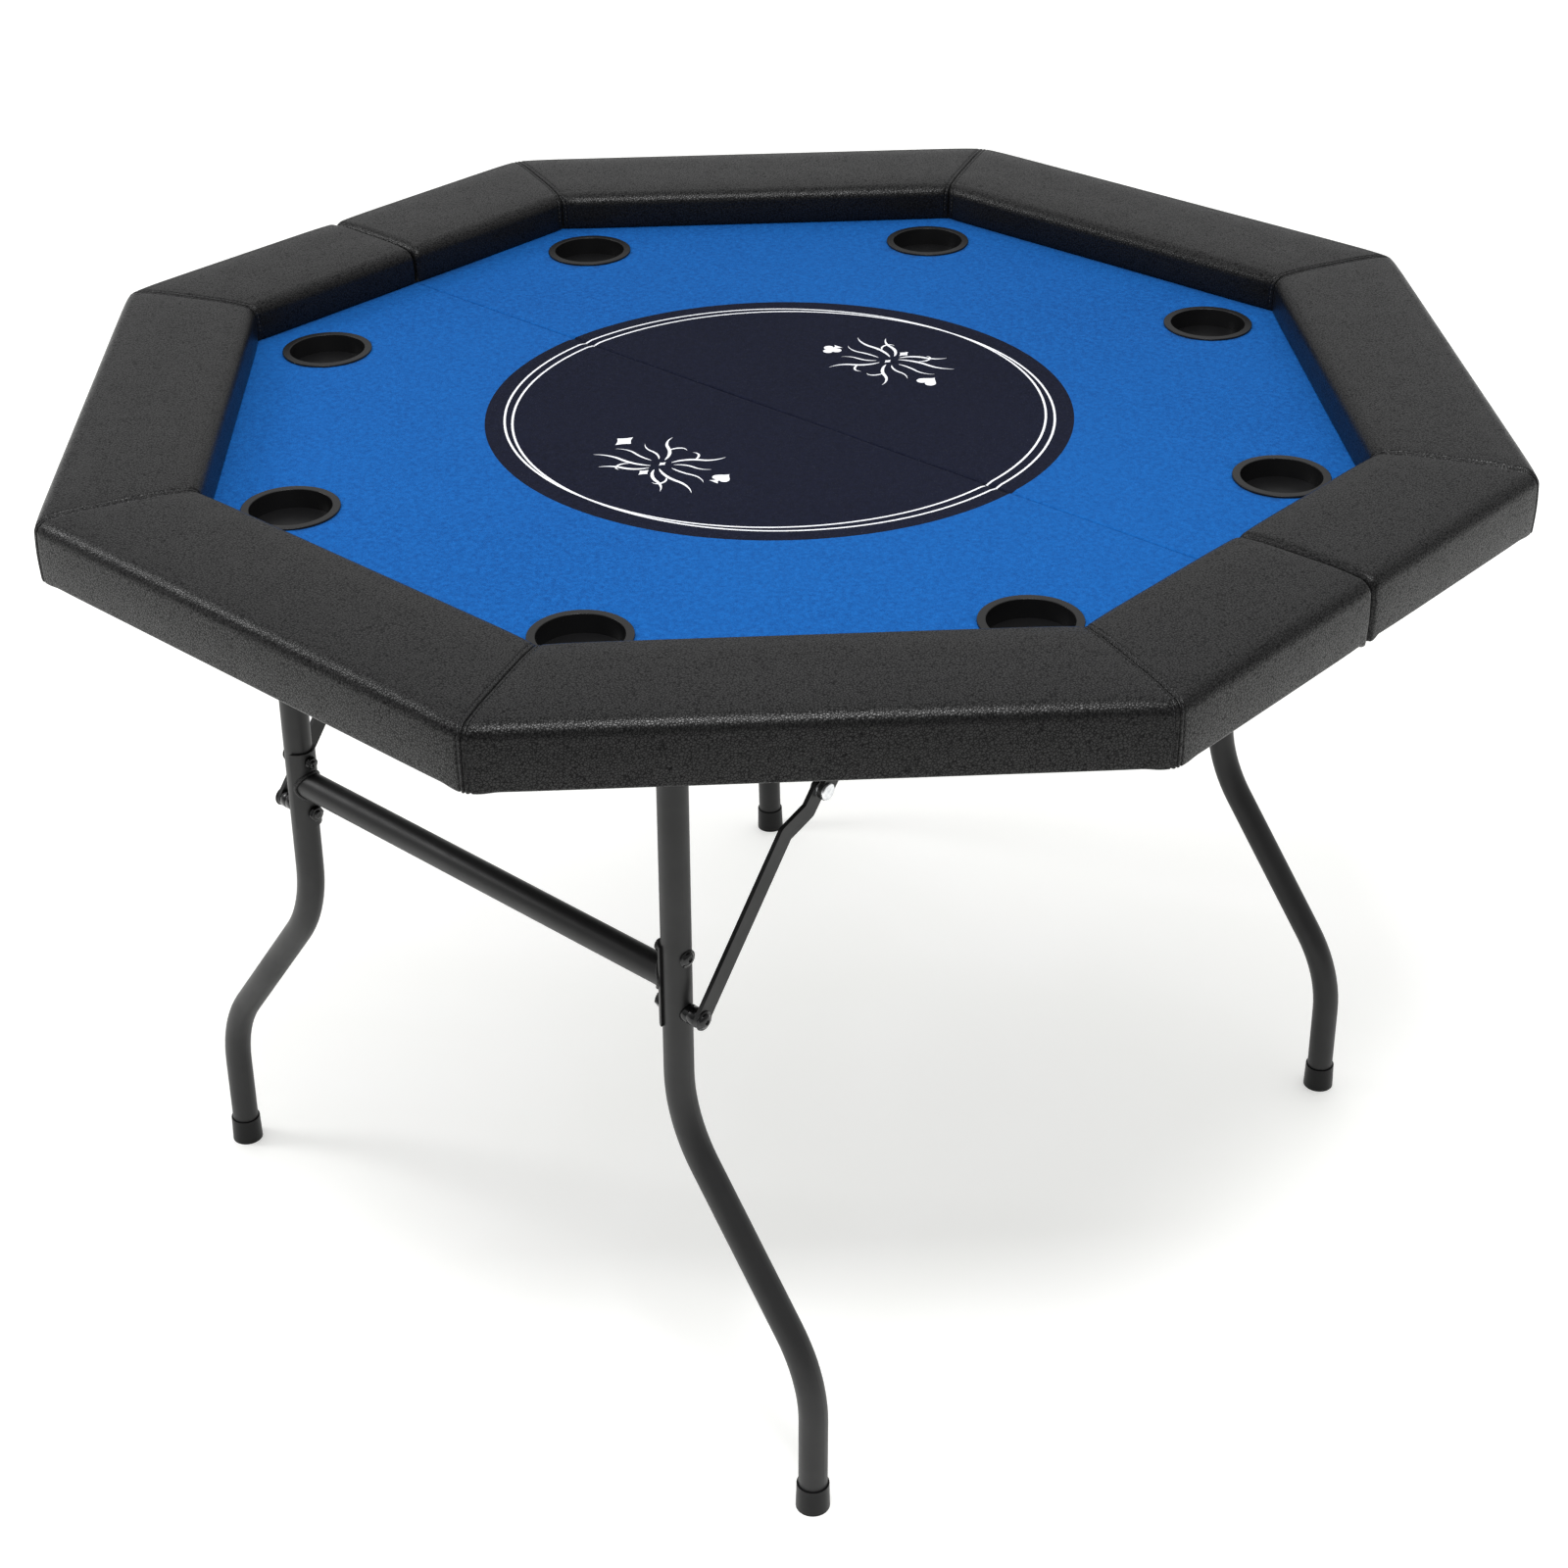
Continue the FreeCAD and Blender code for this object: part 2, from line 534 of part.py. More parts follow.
def build_leg_frames():
    pivot = tube_x(PIVOT_TUBE_HALF, PIVOT_Y, PIVOT_Z)
    pivot_bar = rod_x(TUBE_OUTER, -PIVOT_TUBE_HALF, PIVOT_TUBE_HALF, PIVOT_Y, PIVOT_Z)
    crossbar = tube_x(UPRIGHT_X, PIVOT_Y, CROSSBAR_Z)
    saddles, bolts = [], []
    for side, here, opposite in ((LEFT, "left", "right"), (RIGHT, "right", "left")):
        side_bolts = leg_bolts(side)
        leg = leg_bar(side, TUBE_OUTER).cut(leg_bar(side, TUBE_INNER))
        leg = tilted(leg.cut([pivot_bar] + side_bolts))
        save("leg_front_" + here, [leg])
        save("leg_rear_" + opposite, [half_turn(leg)])
        cap = tilted(foot_cap(side))
        save("foot_cap_front_" + here, [cap])
        save("foot_cap_rear_" + opposite, [half_turn(cap)])
        saddles.append(tilted(saddle_plate(side).cut(side_bolts)))
        bolts += [tilted(bolt) for bolt in side_bolts]
        crossbar = crossbar.cut(rod_z(TUBE_OUTER + SADDLE_THICKNESS, side * UPRIGHT_X, PIVOT_Y,
                                      SADDLE_BOTTOM, SADDLE_TOP))
    save_both_halves("pivot_tube", [tilted(pivot)])
    save_both_halves("crossbar", [tilted(crossbar)])
    save_both_halves("saddle_plates", saddles)
    save_both_halves("leg_bolts", bolts)


def build_braces():
    pieces = (("brace_lower", lower_link), ("rivet_tail", rivet_tail),
              ("brace_upper", upper_link), ("knee_rivet", knee_rivet))
    for name, make in pieces:
        for side, here, opposite in ((LEFT, "left", "right"), (RIGHT, "right", "left")):
            piece = make(side)
            save(name + "_front_" + here, [piece])
            save(name + "_rear_" + opposite, [half_turn(piece)])


build_top()
build_leg_frames()
build_braces()
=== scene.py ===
import json
import math

import bmesh
import bpy
import numpy as np
from mathutils import Matrix, Vector
from mathutils.geometry import delaunay_2d_cdt


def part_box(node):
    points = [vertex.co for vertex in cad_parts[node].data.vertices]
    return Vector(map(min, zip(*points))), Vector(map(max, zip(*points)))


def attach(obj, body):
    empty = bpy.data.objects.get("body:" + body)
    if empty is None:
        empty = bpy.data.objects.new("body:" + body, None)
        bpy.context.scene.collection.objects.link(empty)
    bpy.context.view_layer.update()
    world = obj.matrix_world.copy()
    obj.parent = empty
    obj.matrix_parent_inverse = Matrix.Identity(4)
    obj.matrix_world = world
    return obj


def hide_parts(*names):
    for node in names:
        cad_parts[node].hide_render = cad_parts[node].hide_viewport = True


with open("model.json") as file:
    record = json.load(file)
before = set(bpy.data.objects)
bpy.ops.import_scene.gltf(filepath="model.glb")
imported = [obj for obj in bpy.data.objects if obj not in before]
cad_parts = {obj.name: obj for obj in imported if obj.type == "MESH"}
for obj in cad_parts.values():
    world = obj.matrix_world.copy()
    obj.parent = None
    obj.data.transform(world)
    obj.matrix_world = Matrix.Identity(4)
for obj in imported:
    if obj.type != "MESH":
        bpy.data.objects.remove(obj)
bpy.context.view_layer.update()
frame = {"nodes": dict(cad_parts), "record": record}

# Looks of the folding card table. Metres. The fold line is the X axis and the front half
# is at -Y. Soft parts are built for the front half and turned half a turn for the rear.

MM = 0.001
HALVES = (("front", 0.0), ("rear", math.pi))
SIDES = 8
HALF_ANGLE = math.pi / SIDES
SIDE_ANGLE = 2 * HALF_ANGLE
TAN_HALF, COS_HALF = math.tan(HALF_ANGLE), math.cos(HALF_ANGLE)

# Places read from the frame.
PAD_LOW, PAD_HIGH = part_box("rail_pad_front")
FELT_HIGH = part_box("felt_front")[1]
BOARD_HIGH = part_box("tabletop_board_front")[1]
PIVOT_LOW, PIVOT_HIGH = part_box("pivot_tube_front")
OUTER = PAD_HIGH.x
RAIL_TOP = PAD_HIGH.z
RAIL_BOTTOM = PAD_LOW.z
FELT_TOP = FELT_HIGH.z
FELT_APOTHEM = FELT_HIGH.x
INNER = FELT_APOTHEM - 10 * MM
BOARD_APOTHEM = BOARD_HIGH.x
BOARD_TOP = BOARD_HIGH.z
CORE_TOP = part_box("rail_core_front")[1].z
FOLD_GAP = -PAD_HIGH.y
PIVOT_Y, PIVOT_Z = (PIVOT_LOW.y + PIVOT_HIGH.y) / 2, (PIVOT_LOW.z + PIVOT_HIGH.z) / 2

# Rail upholstery.
GRAIN_CELLS = 470
OUTER_ROUND = 14 * MM
INNER_ROUND = 13 * MM
TOP_CROWN = 1.8 * MM
FACE_BULGE = 0.7 * MM
BOTTOM_ROUND = 3 * MM
HIDDEN_GAP = 0.2 * MM
FLAP_WIDTH = 29 * MM
FLAP_THICKNESS = 1.2 * MM
CORE_SETBACK = 3 * MM
SEAM_DIP, SEAM_DIP_REACH = 1.3 * MM, 13 * MM
SEAM_GROOVE, SEAM_GROOVE_WIDTH = 1.7 * MM, 0.75 * MM
STITCH_OFFSET = 3.7 * MM
STITCH_GROOVE, STITCH_GROOVE_WIDTH = 1.05 * MM, 0.75 * MM
END_ROUND_TOP, END_ROUND_FACE = 8 * MM, 4.6 * MM
END_DIP, END_DIP_REACH = 1.2 * MM, 14 * MM
SEAM_LIP_DROP, SEAM_LIP_REACH, SEAM_LIP_FADE = 1.7 * MM, 8 * MM, 16 * MM
END_LIP_DROP, END_LIP_REACH, END_LIP_FADE = 3.2 * MM, 5 * MM, 9 * MM
LIP_HEIGHT = 12 * MM
SEAM_STEPS = (0, .3, .6, .9, 1.2, 1.7, 2.3, 2.8, 3.1, 3.4, 3.7, 4, 4.3, 4.7, 5.4, 6.6, 8.5,
              11, 14, 17, 20, 23, 27, 34, 44, 60)
END_STEPS = (0, .15, .5, 1, 1.6, 2.3, 2.8, 3.0, 4, 5, 6.2, 7.5, 9, 11, 13.5, 16, 18.5, 21,
             24, 28, 36, 48)
MIDDLE_STEPS = 9
FAR_FROM_END = 1.0
STITCH_LENGTH, STITCH_PITCH, STITCH_RADIUS = 3.3 * MM, 4.3 * MM, 0.42 * MM
WELT_RADIUS, WELT_LOW, WELT_TUCK = 2.5 * MM, 2.2 * MM, 1.6 * MM
WELT_INSET, WELT_FOLD_INSET = 6.2 * MM, 2.6 * MM
STAPLE_CROWN, STAPLE_WIRE, STAPLE_PITCH = 10 * MM, 0.55 * MM, 34 * MM
STAPLE_CORNER_MARGIN, STAPLE_FOLD_MARGIN = 18 * MM, 12 * MM

# Felt and its print.
DISC_RADIUS = 261 * MM
RING_RADIUS, RING_SHIFT, RING_WIDTH = 240 * MM, 5 * MM, 2.0 * MM
FELT_THICKNESS = 0.8 * MM
FELT_ROLL = 2.2 * MM
FELT_TURN_DOWN = 9 * MM
FELT_GRID = 16 * MM
UNDERLAY_INSET = 1 * MM
CUP_CIRCLE, CUP_HOLE = 449 * MM, 36.8 * MM
MOTIF_Y = -150 * MM
SUIT_X, SUIT_Y, SUIT_SIZE = 58 * MM, -137 * MM, 21 * MM
STROKE_WIDE, STROKE_THIN, STROKE_TAPER = 3.0 * MM, 2.0 * MM, 0.9
CURL_STEPS = 22

# Leg frames.
LEG_SPLAY = 0.93
BOLT_Z = 504.8 * MM
# The brace bolt's spacer is the lowest part of the CAD bolts.
CAD_SPACER_RADIUS = 8 * MM
SPACER_RADIUS = 8.2 * MM
SADDLE_WRAP = 5 * MM
SADDLE_THICKNESS = 2.5 * MM
NUT_HEIGHT = 4.6 * MM
HEAD_SUNK, SPACER_SUNK = 0.5 * MM, 4 * MM
# Bolt radius, nut radius, head radius and head height.
SHORT_BOLT = (3 * MM, 6.2 * MM, 6.0 * MM, 3.0 * MM)
BRACE_BOLT = (4 * MM, 7.6 * MM, 6.6 * MM, 3.6 * MM)
WELD_STEPS, WELD_CLEARANCE = 72, 0.5 * MM
CROSSBAR_WELD, PIVOT_WELD = 1.7 * MM, 1.5 * MM
LATHE_STEPS = 36

# Camera: place, direction and lens.
CAMERA_PLACE = (1.5484, -1.6934, 1.7781)
CAMERA_AZIMUTH, CAMERA_ELEVATION, CAMERA_ROLL = 42.44, 31.13, -0.73
CAMERA_LENS, CAMERA_SENSOR = 64.07, 36.0


# ---------------- node helpers

def new_material(name):
    material = bpy.data.materials.new(name)
    material.use_nodes = True
    tree = material.node_tree
    tree.nodes.clear()
    output = tree.nodes.new("ShaderNodeOutputMaterial")
    shader = tree.nodes.new("ShaderNodeBsdfPrincipled")
    tree.links.new(shader.outputs[0], output.inputs[0])
    return material, tree, shader


def set_inputs(tree, target, inputs):
    """Links or sets a node's inputs."""
    for name, value in inputs.items():
        socket = target.inputs[name]
        if isinstance(value, bpy.types.NodeSocket):
            tree.links.new(value, socket)
        else:
            socket.default_value = value


def node(tree, kind, inputs=None, **settings):
    made = tree.nodes.new("ShaderNode" + kind)
    for name, value in settings.items():
        setattr(made, name, value)
    set_inputs(tree, made, inputs or {})
    return made


def object_coordinates(tree):
    return node(tree, "TexCoord").outputs["Object"]


def noise(tree, scale, detail=2.0, roughness=0.5, vector=None, distortion=0.0):
    made = node(tree, "TexNoise", {"Scale": scale, "Detail": detail, "Roughness": roughness,
                                   "Distortion": distortion,
                                   "Vector": vector or object_coordinates(tree)})
    return made.outputs["Fac"]


def cells(tree, scale, feature="F1", randomness=1.0, vector=None):
    made = node(tree, "TexVoronoi", {"Scale": scale, "Randomness": randomness,
                                     "Vector": vector or object_coordinates(tree)},
                feature=feature)
    return made.outputs["Distance"]


def ramp(tree, value, *stops):
    made = node(tree, "ValToRGB", {"Fac": value})
    elements = made.color_ramp.elements
    while len(elements) < len(stops):
        elements.new(0.5)
    for element, (position, colour) in zip(elements, stops):
        element.position = position
        element.color = (*colour, 1.0) if len(colour) == 3 else colour
    return made.outputs["Color"]


def maths(tree, operation, first, second):
    return node(tree, "Math", {0: first, 1: second}, operation=operation).outputs[0]


def remap(tree, value, low, high, new_low, new_high):
    made = node(tree, "MapRange", {"Value": value, "From Min": low, "From Max": high,
                                   "To Min": new_low, "To Max": new_high})
    return made.outputs[0]


def bump(tree, height, strength, distance, normal=None):
    inputs = {"Height": height, "Strength": strength, "Distance": distance}
    if normal is not None:
        inputs["Normal"] = normal
    return node(tree, "Bump", inputs).outputs["Normal"]


def connect(tree, output, shader, name):
    tree.links.new(output, shader.inputs[name])


# ---------------- materials

def leather_material():
    """Charcoal synthetic leather: pebble grain, fine wrinkles, soft satin, and painted shade darkening
    the grain's creases.
    """
    material, tree, shader = new_material("rail_leather")
    warp = noise(tree, 260, 2, 0.5)
    place = node(tree, "VectorMath", {0: object_coordinates(tree)}, operation="ADD")
    shift = node(tree, "VectorMath", {0: warp, 1: (0.0022, 0.0022, 0.0022)}, operation="MULTIPLY")
    tree.links.new(shift.outputs[0], place.inputs[1])
    pebbles = cells(tree, GRAIN_CELLS, "SMOOTH_F1", 0.95, place.outputs[0])
    creases = remap(tree, cells(tree, GRAIN_CELLS, "DISTANCE_TO_EDGE", 1.0, place.outputs[0]),
                    0.0, 0.20, 0.0, 1.0)
    fine = noise(tree, 2600, 3, 0.6)
    broad = noise(tree, 5, 3, 0.55)
    patch = noise(tree, 38, 2, 0.5)
    colour = ramp(tree, broad, (0.25, (0.0062, 0.0062, 0.0063)), (0.75, (0.0092, 0.0091, 0.0091)))
    # Painted shade: the base colour is darkened towards the edges of the grain cells, where the creases
    # fall into shade.
    dark = node(tree, "MixRGB", {"Fac": remap(tree, creases, 0.0, 1.0, 0.7, 0.0),
                                 "Color1": colour, "Color2": (0.0015, 0.0015, 0.0018, 1)})
    connect(tree, dark.outputs[0], shader, "Base Color")
    rough = maths(tree, "ADD", remap(tree, patch, 0.3, 0.7, 0.25, 0.31),
                  remap(tree, pebbles, 0.0, 0.8, 0.0, 0.08))
    connect(tree, rough, shader, "Roughness")
    grain = bump(tree, creases, 0.6, 0.00010)
    grain = node(tree, "Bump", {"Height": pebbles, "Strength": 0.8, "Distance": 0.00022,
                                "Normal": grain}, invert=True).outputs["Normal"]
    grain = bump(tree, fine, 0.15, 0.00004, grain)
    connect(tree, bump(tree, patch, 0.20, 0.0012, grain), shader, "Normal")
    connect(tree, remap(tree, creases, 0.0, 0.9, 0.03, 0.29), shader, "Specular IOR Level")
    return material


def felt_material(name, dark, light, speck, fuzz):
    """Short fibre felt: a tint that varies with fibre clumps, matte with a little fuzz."""
    material, tree, shader = new_material(name)
    stretched = node(tree, "Mapping", {"Vector": object_coordinates(tree),
                                       "Scale": (1.0, 2.2, 1.0), "Rotation": (0, 0, 0.6)})
    fibres = noise(tree, 640, 4, 0.7, stretched.outputs[0])
    clumps = noise(tree, 210, 3, 0.6)
    broad = noise(tree, 3.2, 3, 0.5)
    blend = maths(tree, "ADD", maths(tree, "MULTIPLY", fibres, 0.62),
                  maths(tree, "MULTIPLY", clumps, 0.38))
    base = ramp(tree, blend, (0.37, dark), (0.63, light))
    tint = node(tree, "MixRGB", {"Fac": remap(tree, broad, 0.35, 0.65, 0.0, 0.22),
                                 "Color1": base, "Color2": (*light, 1)})
    lint = remap(tree, noise(tree, 1500, 1, 0.4), 0.70, 0.78, 0.0, speck)
    spot = node(tree, "MixRGB", {"Fac": lint, "Color1": tint.outputs[0], "Color2": (0.5, 0.55, 0.65, 1)})
    connect(tree, spot.outputs[0], shader, "Base Color")
    connect(tree, remap(tree, clumps, 0.3, 0.7, 0.86, 0.97), shader, "Roughness")
    nap = bump(tree, fibres, 0.55, 0.0006)
    connect(tree, bump(tree, clumps, 0.25, 0.0009, nap), shader, "Normal")
    set_inputs(tree, shader, {"Specular IOR Level": 0.06, "Sheen Weight": fuzz, "Sheen Roughness": 0.5})
    return material


def powder_coat_material():
    """Matte black powder coat on steel: fine orange peel, rubbed a little lighter in places."""
    material, tree, shader = new_material("powder_coat")
    peel = noise(tree, 1100, 3, 0.55)
    wave = noise(tree, 160, 2, 0.5)
    rub = noise(tree, 14, 4, 0.65)
    connect(tree, ramp(tree, rub, (0.35, (0.0085, 0.0085, 0.0088)), (0.72, (0.0140, 0.0140, 0.0143))),
            shader, "Base Color")
    connect(tree, remap(tree, rub, 0.3, 0.75, 0.50, 0.40), shader, "Roughness")
    skin = bump(tree, peel, 0.20, 0.00006)
    connect(tree, bump(tree, wave, 0.12, 0.0002, skin), shader, "Normal")
    set_inputs(tree, shader, {"Specular IOR Level": 0.36})
    return material


def bolt_material():
    """Black oxide on screws and bolts, glossier than the tubes, with worn edges."""
    material, tree, shader = new_material("black_oxide")
    wear = noise(tree, 330, 3, 0.6)
    connect(tree, ramp(tree, wear, (0.45, (0.0045, 0.0045, 0.0050)), (0.80, (0.020, 0.020, 0.021))),
            shader, "Base Color")
    connect(tree, remap(tree, wear, 0.3, 0.8, 0.17, 0.30), shader, "Roughness")
    connect(tree, bump(tree, noise(tree, 1500, 2), 0.15, 0.00008), shader, "Normal")
    set_inputs(tree, shader, {"Metallic": 0.55, "Coat Weight": 0.35, "Coat Roughness": 0.2})
    return material


def zinc_material():
    """Zinc plated steel: pale grey with a fine brushed and spangled finish."""
    material, tree, shader = new_material("zinc_plate")
    spangle = cells(tree, 260)
    brush = noise(tree, 1800, 2, 0.6)
    connect(tree, ramp(tree, spangle, (0.1, (0.58, 0.59, 0.61)), (0.8, (0.76, 0.77, 0.78))),
            shader, "Base Color")
    connect(tree, remap(tree, brush, 0.3, 0.7, 0.22, 0.38), shader, "Roughness")
    connect(tree, bump(tree, brush, 0.18, 0.00006), shader, "Normal")
    set_inputs(tree, shader, {"Metallic": 1.0})
    return material


def plastic_material(name, shade, rough):
    """Moulded black plastic with a fine spark-eroded texture."""
    material, tree, shader = new_material(name)
    texture = noise(tree, 1900, 3, 0.6)
    smear = noise(tree, 22, 3, 0.55)
    bright = tuple(1.5 * channel for channel in shade)
    connect(tree, ramp(tree, smear, (0.3, shade), (0.8, bright)), shader, "Base Color")
    connect(tree, remap(tree, smear, 0.3, 0.75, rough, rough + 0.10), shader, "Roughness")
    connect(tree, bump(tree, texture, 0.30, 0.00006), shader, "Normal")
    set_inputs(tree, shader, {"Specular IOR Level": 0.22})
    return material


def board_material():
    """Black painted fibreboard: thin matte paint over pressed fibres."""
    material, tree, shader = new_material("painted_board")
    fibre = noise(tree, 420, 5, 0.7)
    cloud = noise(tree, 6, 4, 0.6)
    colour = ramp(tree, cloud, (0.3, (0.020, 0.019, 0.018)), (0.75, (0.033, 0.031, 0.029)))
    chips = remap(tree, noise(tree, 90, 4, 0.7), 0.70, 0.76, 0.0, 0.5)
    mixed = node(tree, "MixRGB", {"Fac": chips, "Color1": colour, "Color2": (0.06, 0.045, 0.032, 1)})
    connect(tree, mixed.outputs[0], shader, "Base Color")
    connect(tree, remap(tree, fibre, 0.3, 0.7, 0.62, 0.80), shader, "Roughness")
    connect(tree, bump(tree, fibre, 0.35, 0.0004), shader, "Normal")
    return material


def wood_material():
    """Sawn softwood of the rail cores."""
    material, tree, shader = new_material("sawn_wood")
    grain = node(tree, "TexWave", {"Scale": 26.0, "Distortion": 5.0, "Detail": 3.0,
                                   "Vector": object_coordinates(tree)})
    connect(tree, ramp(tree, grain.outputs["Fac"], (0.2, (0.40, 0.26, 0.14)), (0.8, (0.62, 0.45, 0.27))),
            shader, "Base Color")
    set_inputs(tree, shader, {"Roughness": 0.75})
    connect(tree, bump(tree, grain.outputs["Fac"], 0.2, 0.0004), shader, "Normal")
    return material


def thread_material():
    """Black twisted polyester thread."""
    material, tree, shader = new_material("black_thread")
    twist = node(tree, "TexWave", {"Scale": 900.0, "Distortion": 1.5,
                                   "Vector": object_coordinates(tree)})
    tone = ramp(tree, twist.outputs["Fac"], (0.2, (0.010, 0.010, 0.011)), (0.8, (0.030, 0.030, 0.032)))
    connect(tree, tone, shader, "Base Color")
    set_inputs(tree, shader, {"Roughness": 0.55})
    connect(tree, bump(tree, twist.outputs["Fac"], 0.4, 0.0001), shader, "Normal")
    return material


def floor_material():
    """Pale studio floor with faint cloudy veins."""
    material, tree, shader = new_material("pale_floor")
    cloud = noise(tree, 1.3, 5, 0.6, distortion=1.2)
    connect(tree, ramp(tree, cloud, (0.35, (0.84, 0.845, 0.82)), (0.62, (0.88, 0.88, 0.87))),
            shader, "Base Color")
    set_inputs(tree, shader, {"Roughness": 0.5, "Specular IOR Level": 0.25,
                              "Emission Color": (1.0, 1.0, 0.985, 1.0), "Emission Strength": 0.34})
    return material


LEATHER = leather_material()
FELT_BLUE = felt_material("felt_blue", (0.0021, 0.047, 0.20), (0.0090, 0.113, 0.39), 0.10, 0.010)
FELT_NAVY = felt_material("felt_navy", (0.0026, 0.0034, 0.0086), (0.0094, 0.0114, 0.0255), 0.16, 0.006)
FELT_WHITE = felt_material("felt_print_white", (0.66, 0.68, 0.72), (0.88, 0.89, 0.92), 0.0, 0.0)
POWDER = powder_coat_material()
THREAD = thread_material()
ZINC = zinc_material()
SLOT_MATERIALS = {
    "board": board_material(),
    "felt": FELT_BLUE,
    "wood": wood_material(),
    "leather": LEATHER,
    "cup_plastic": plastic_material("cup_plastic", (0.0055, 0.0055, 0.0058), 0.30),
    "foot_plastic": plastic_material("foot_plastic", (0.0030, 0.0030, 0.0032), 0.36),
    "black_steel": POWDER,
    "black_fasteners": bolt_material(),
    "zinc": ZINC,
}


def paint_cad_nodes():
    for subpart in frame["record"]["subparts"]:
        mesh = frame["nodes"][subpart["node"]].data
        mesh.materials.clear()
        mesh.materials.append(SLOT_MATERIALS[subpart["material_slot"]])


# ---------------- mesh helpers

def linked(name, data):
    """New object of the scene."""
    made = bpy.data.objects.new(name, data)
    bpy.context.scene.collection.objects.link(made)
    return made


def placed(mesh, body):
    """Object of a mesh, on its body."""
    piece = linked(mesh.name, mesh)
    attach(piece, body)
    return piece


def add_piece(name, parts, spin, material, body="tabletop"):
    """Smooth piece of one material out of parts, turned about Z."""
    vertices, faces = merged(parts)
    mesh = bpy.data.meshes.new(name)
    mesh.from_pydata([tuple(v) for v in turned(vertices, spin)], [], faces)
    mesh.materials.append(material)
    mesh.validate()
    mesh.shade_smooth()
    return placed(mesh, body)


def turned(points, angle):
    """Points turned about Z."""
    spin = Matrix.Rotation(angle, 3, "Z")
    return [spin @ Vector(p) for p in points]


def strip_faces(rings, size, looped=False):
    """Quads between rings of points that follow one another."""
    faces = []
    for i in range(rings if looped else rings - 1):
        near, far = i * size, (i + 1) % rings * size
        for j in range(size):
            k = (j + 1) % size
            faces.append((near + j, near + k, far + k, far + j))
    return faces


def capped_faces(rings, size):
    """Quads between rings, and a face across each end."""
    ends = [tuple(reversed(range(size))), tuple(range((rings - 1) * size, rings * size))]
    return strip_faces(rings, size) + ends


def tube_rings(centres, radii, sides, up=Vector((0, 0, 1))):
    """Vertices and faces of a closed tube through the centres, capped at both ends."""
    vertices = []
    for i, centre in enumerate(centres):
        radius = float(radii[i])
        ahead = (centres[min(i + 1, len(centres) - 1)] - centres[max(i - 1, 0)]).normalized()
        across = ahead.cross(up)
        if across.length < 1e-4:
            across = ahead.cross(Vector((0, 1, 0)))
        across.normalize()
        over = across.cross(ahead)
        for j in range(sides):
            a = 2 * math.pi * j / sides
            vertices.append(centre + radius * (math.cos(a) * across + math.sin(a) * over))
    return vertices, capped_faces(len(centres), sides)


def merged(parts):
    """One list of vertices and faces out of several."""
    vertices, faces = [], []
    for some_vertices, some_faces in parts:
        start = len(vertices)
        vertices += list(some_vertices)
        faces += [tuple(start + i for i in face) for face in some_faces]
    return vertices, faces


# ---------------- padded rails

class RailPoint:
    """A point of the rail's cross-section: apothem r, height z, outward normal, how much of
    the upholstery's dips and low lips it takes, and whether it lies on the wooden core."""

    def __init__(self, r, z, soft=1.0, low=0.0, core=False):
        self.r, self.z, self.soft, self.low, self.core = r, z, soft, low, core
        self.nr = self.nz = 0.0


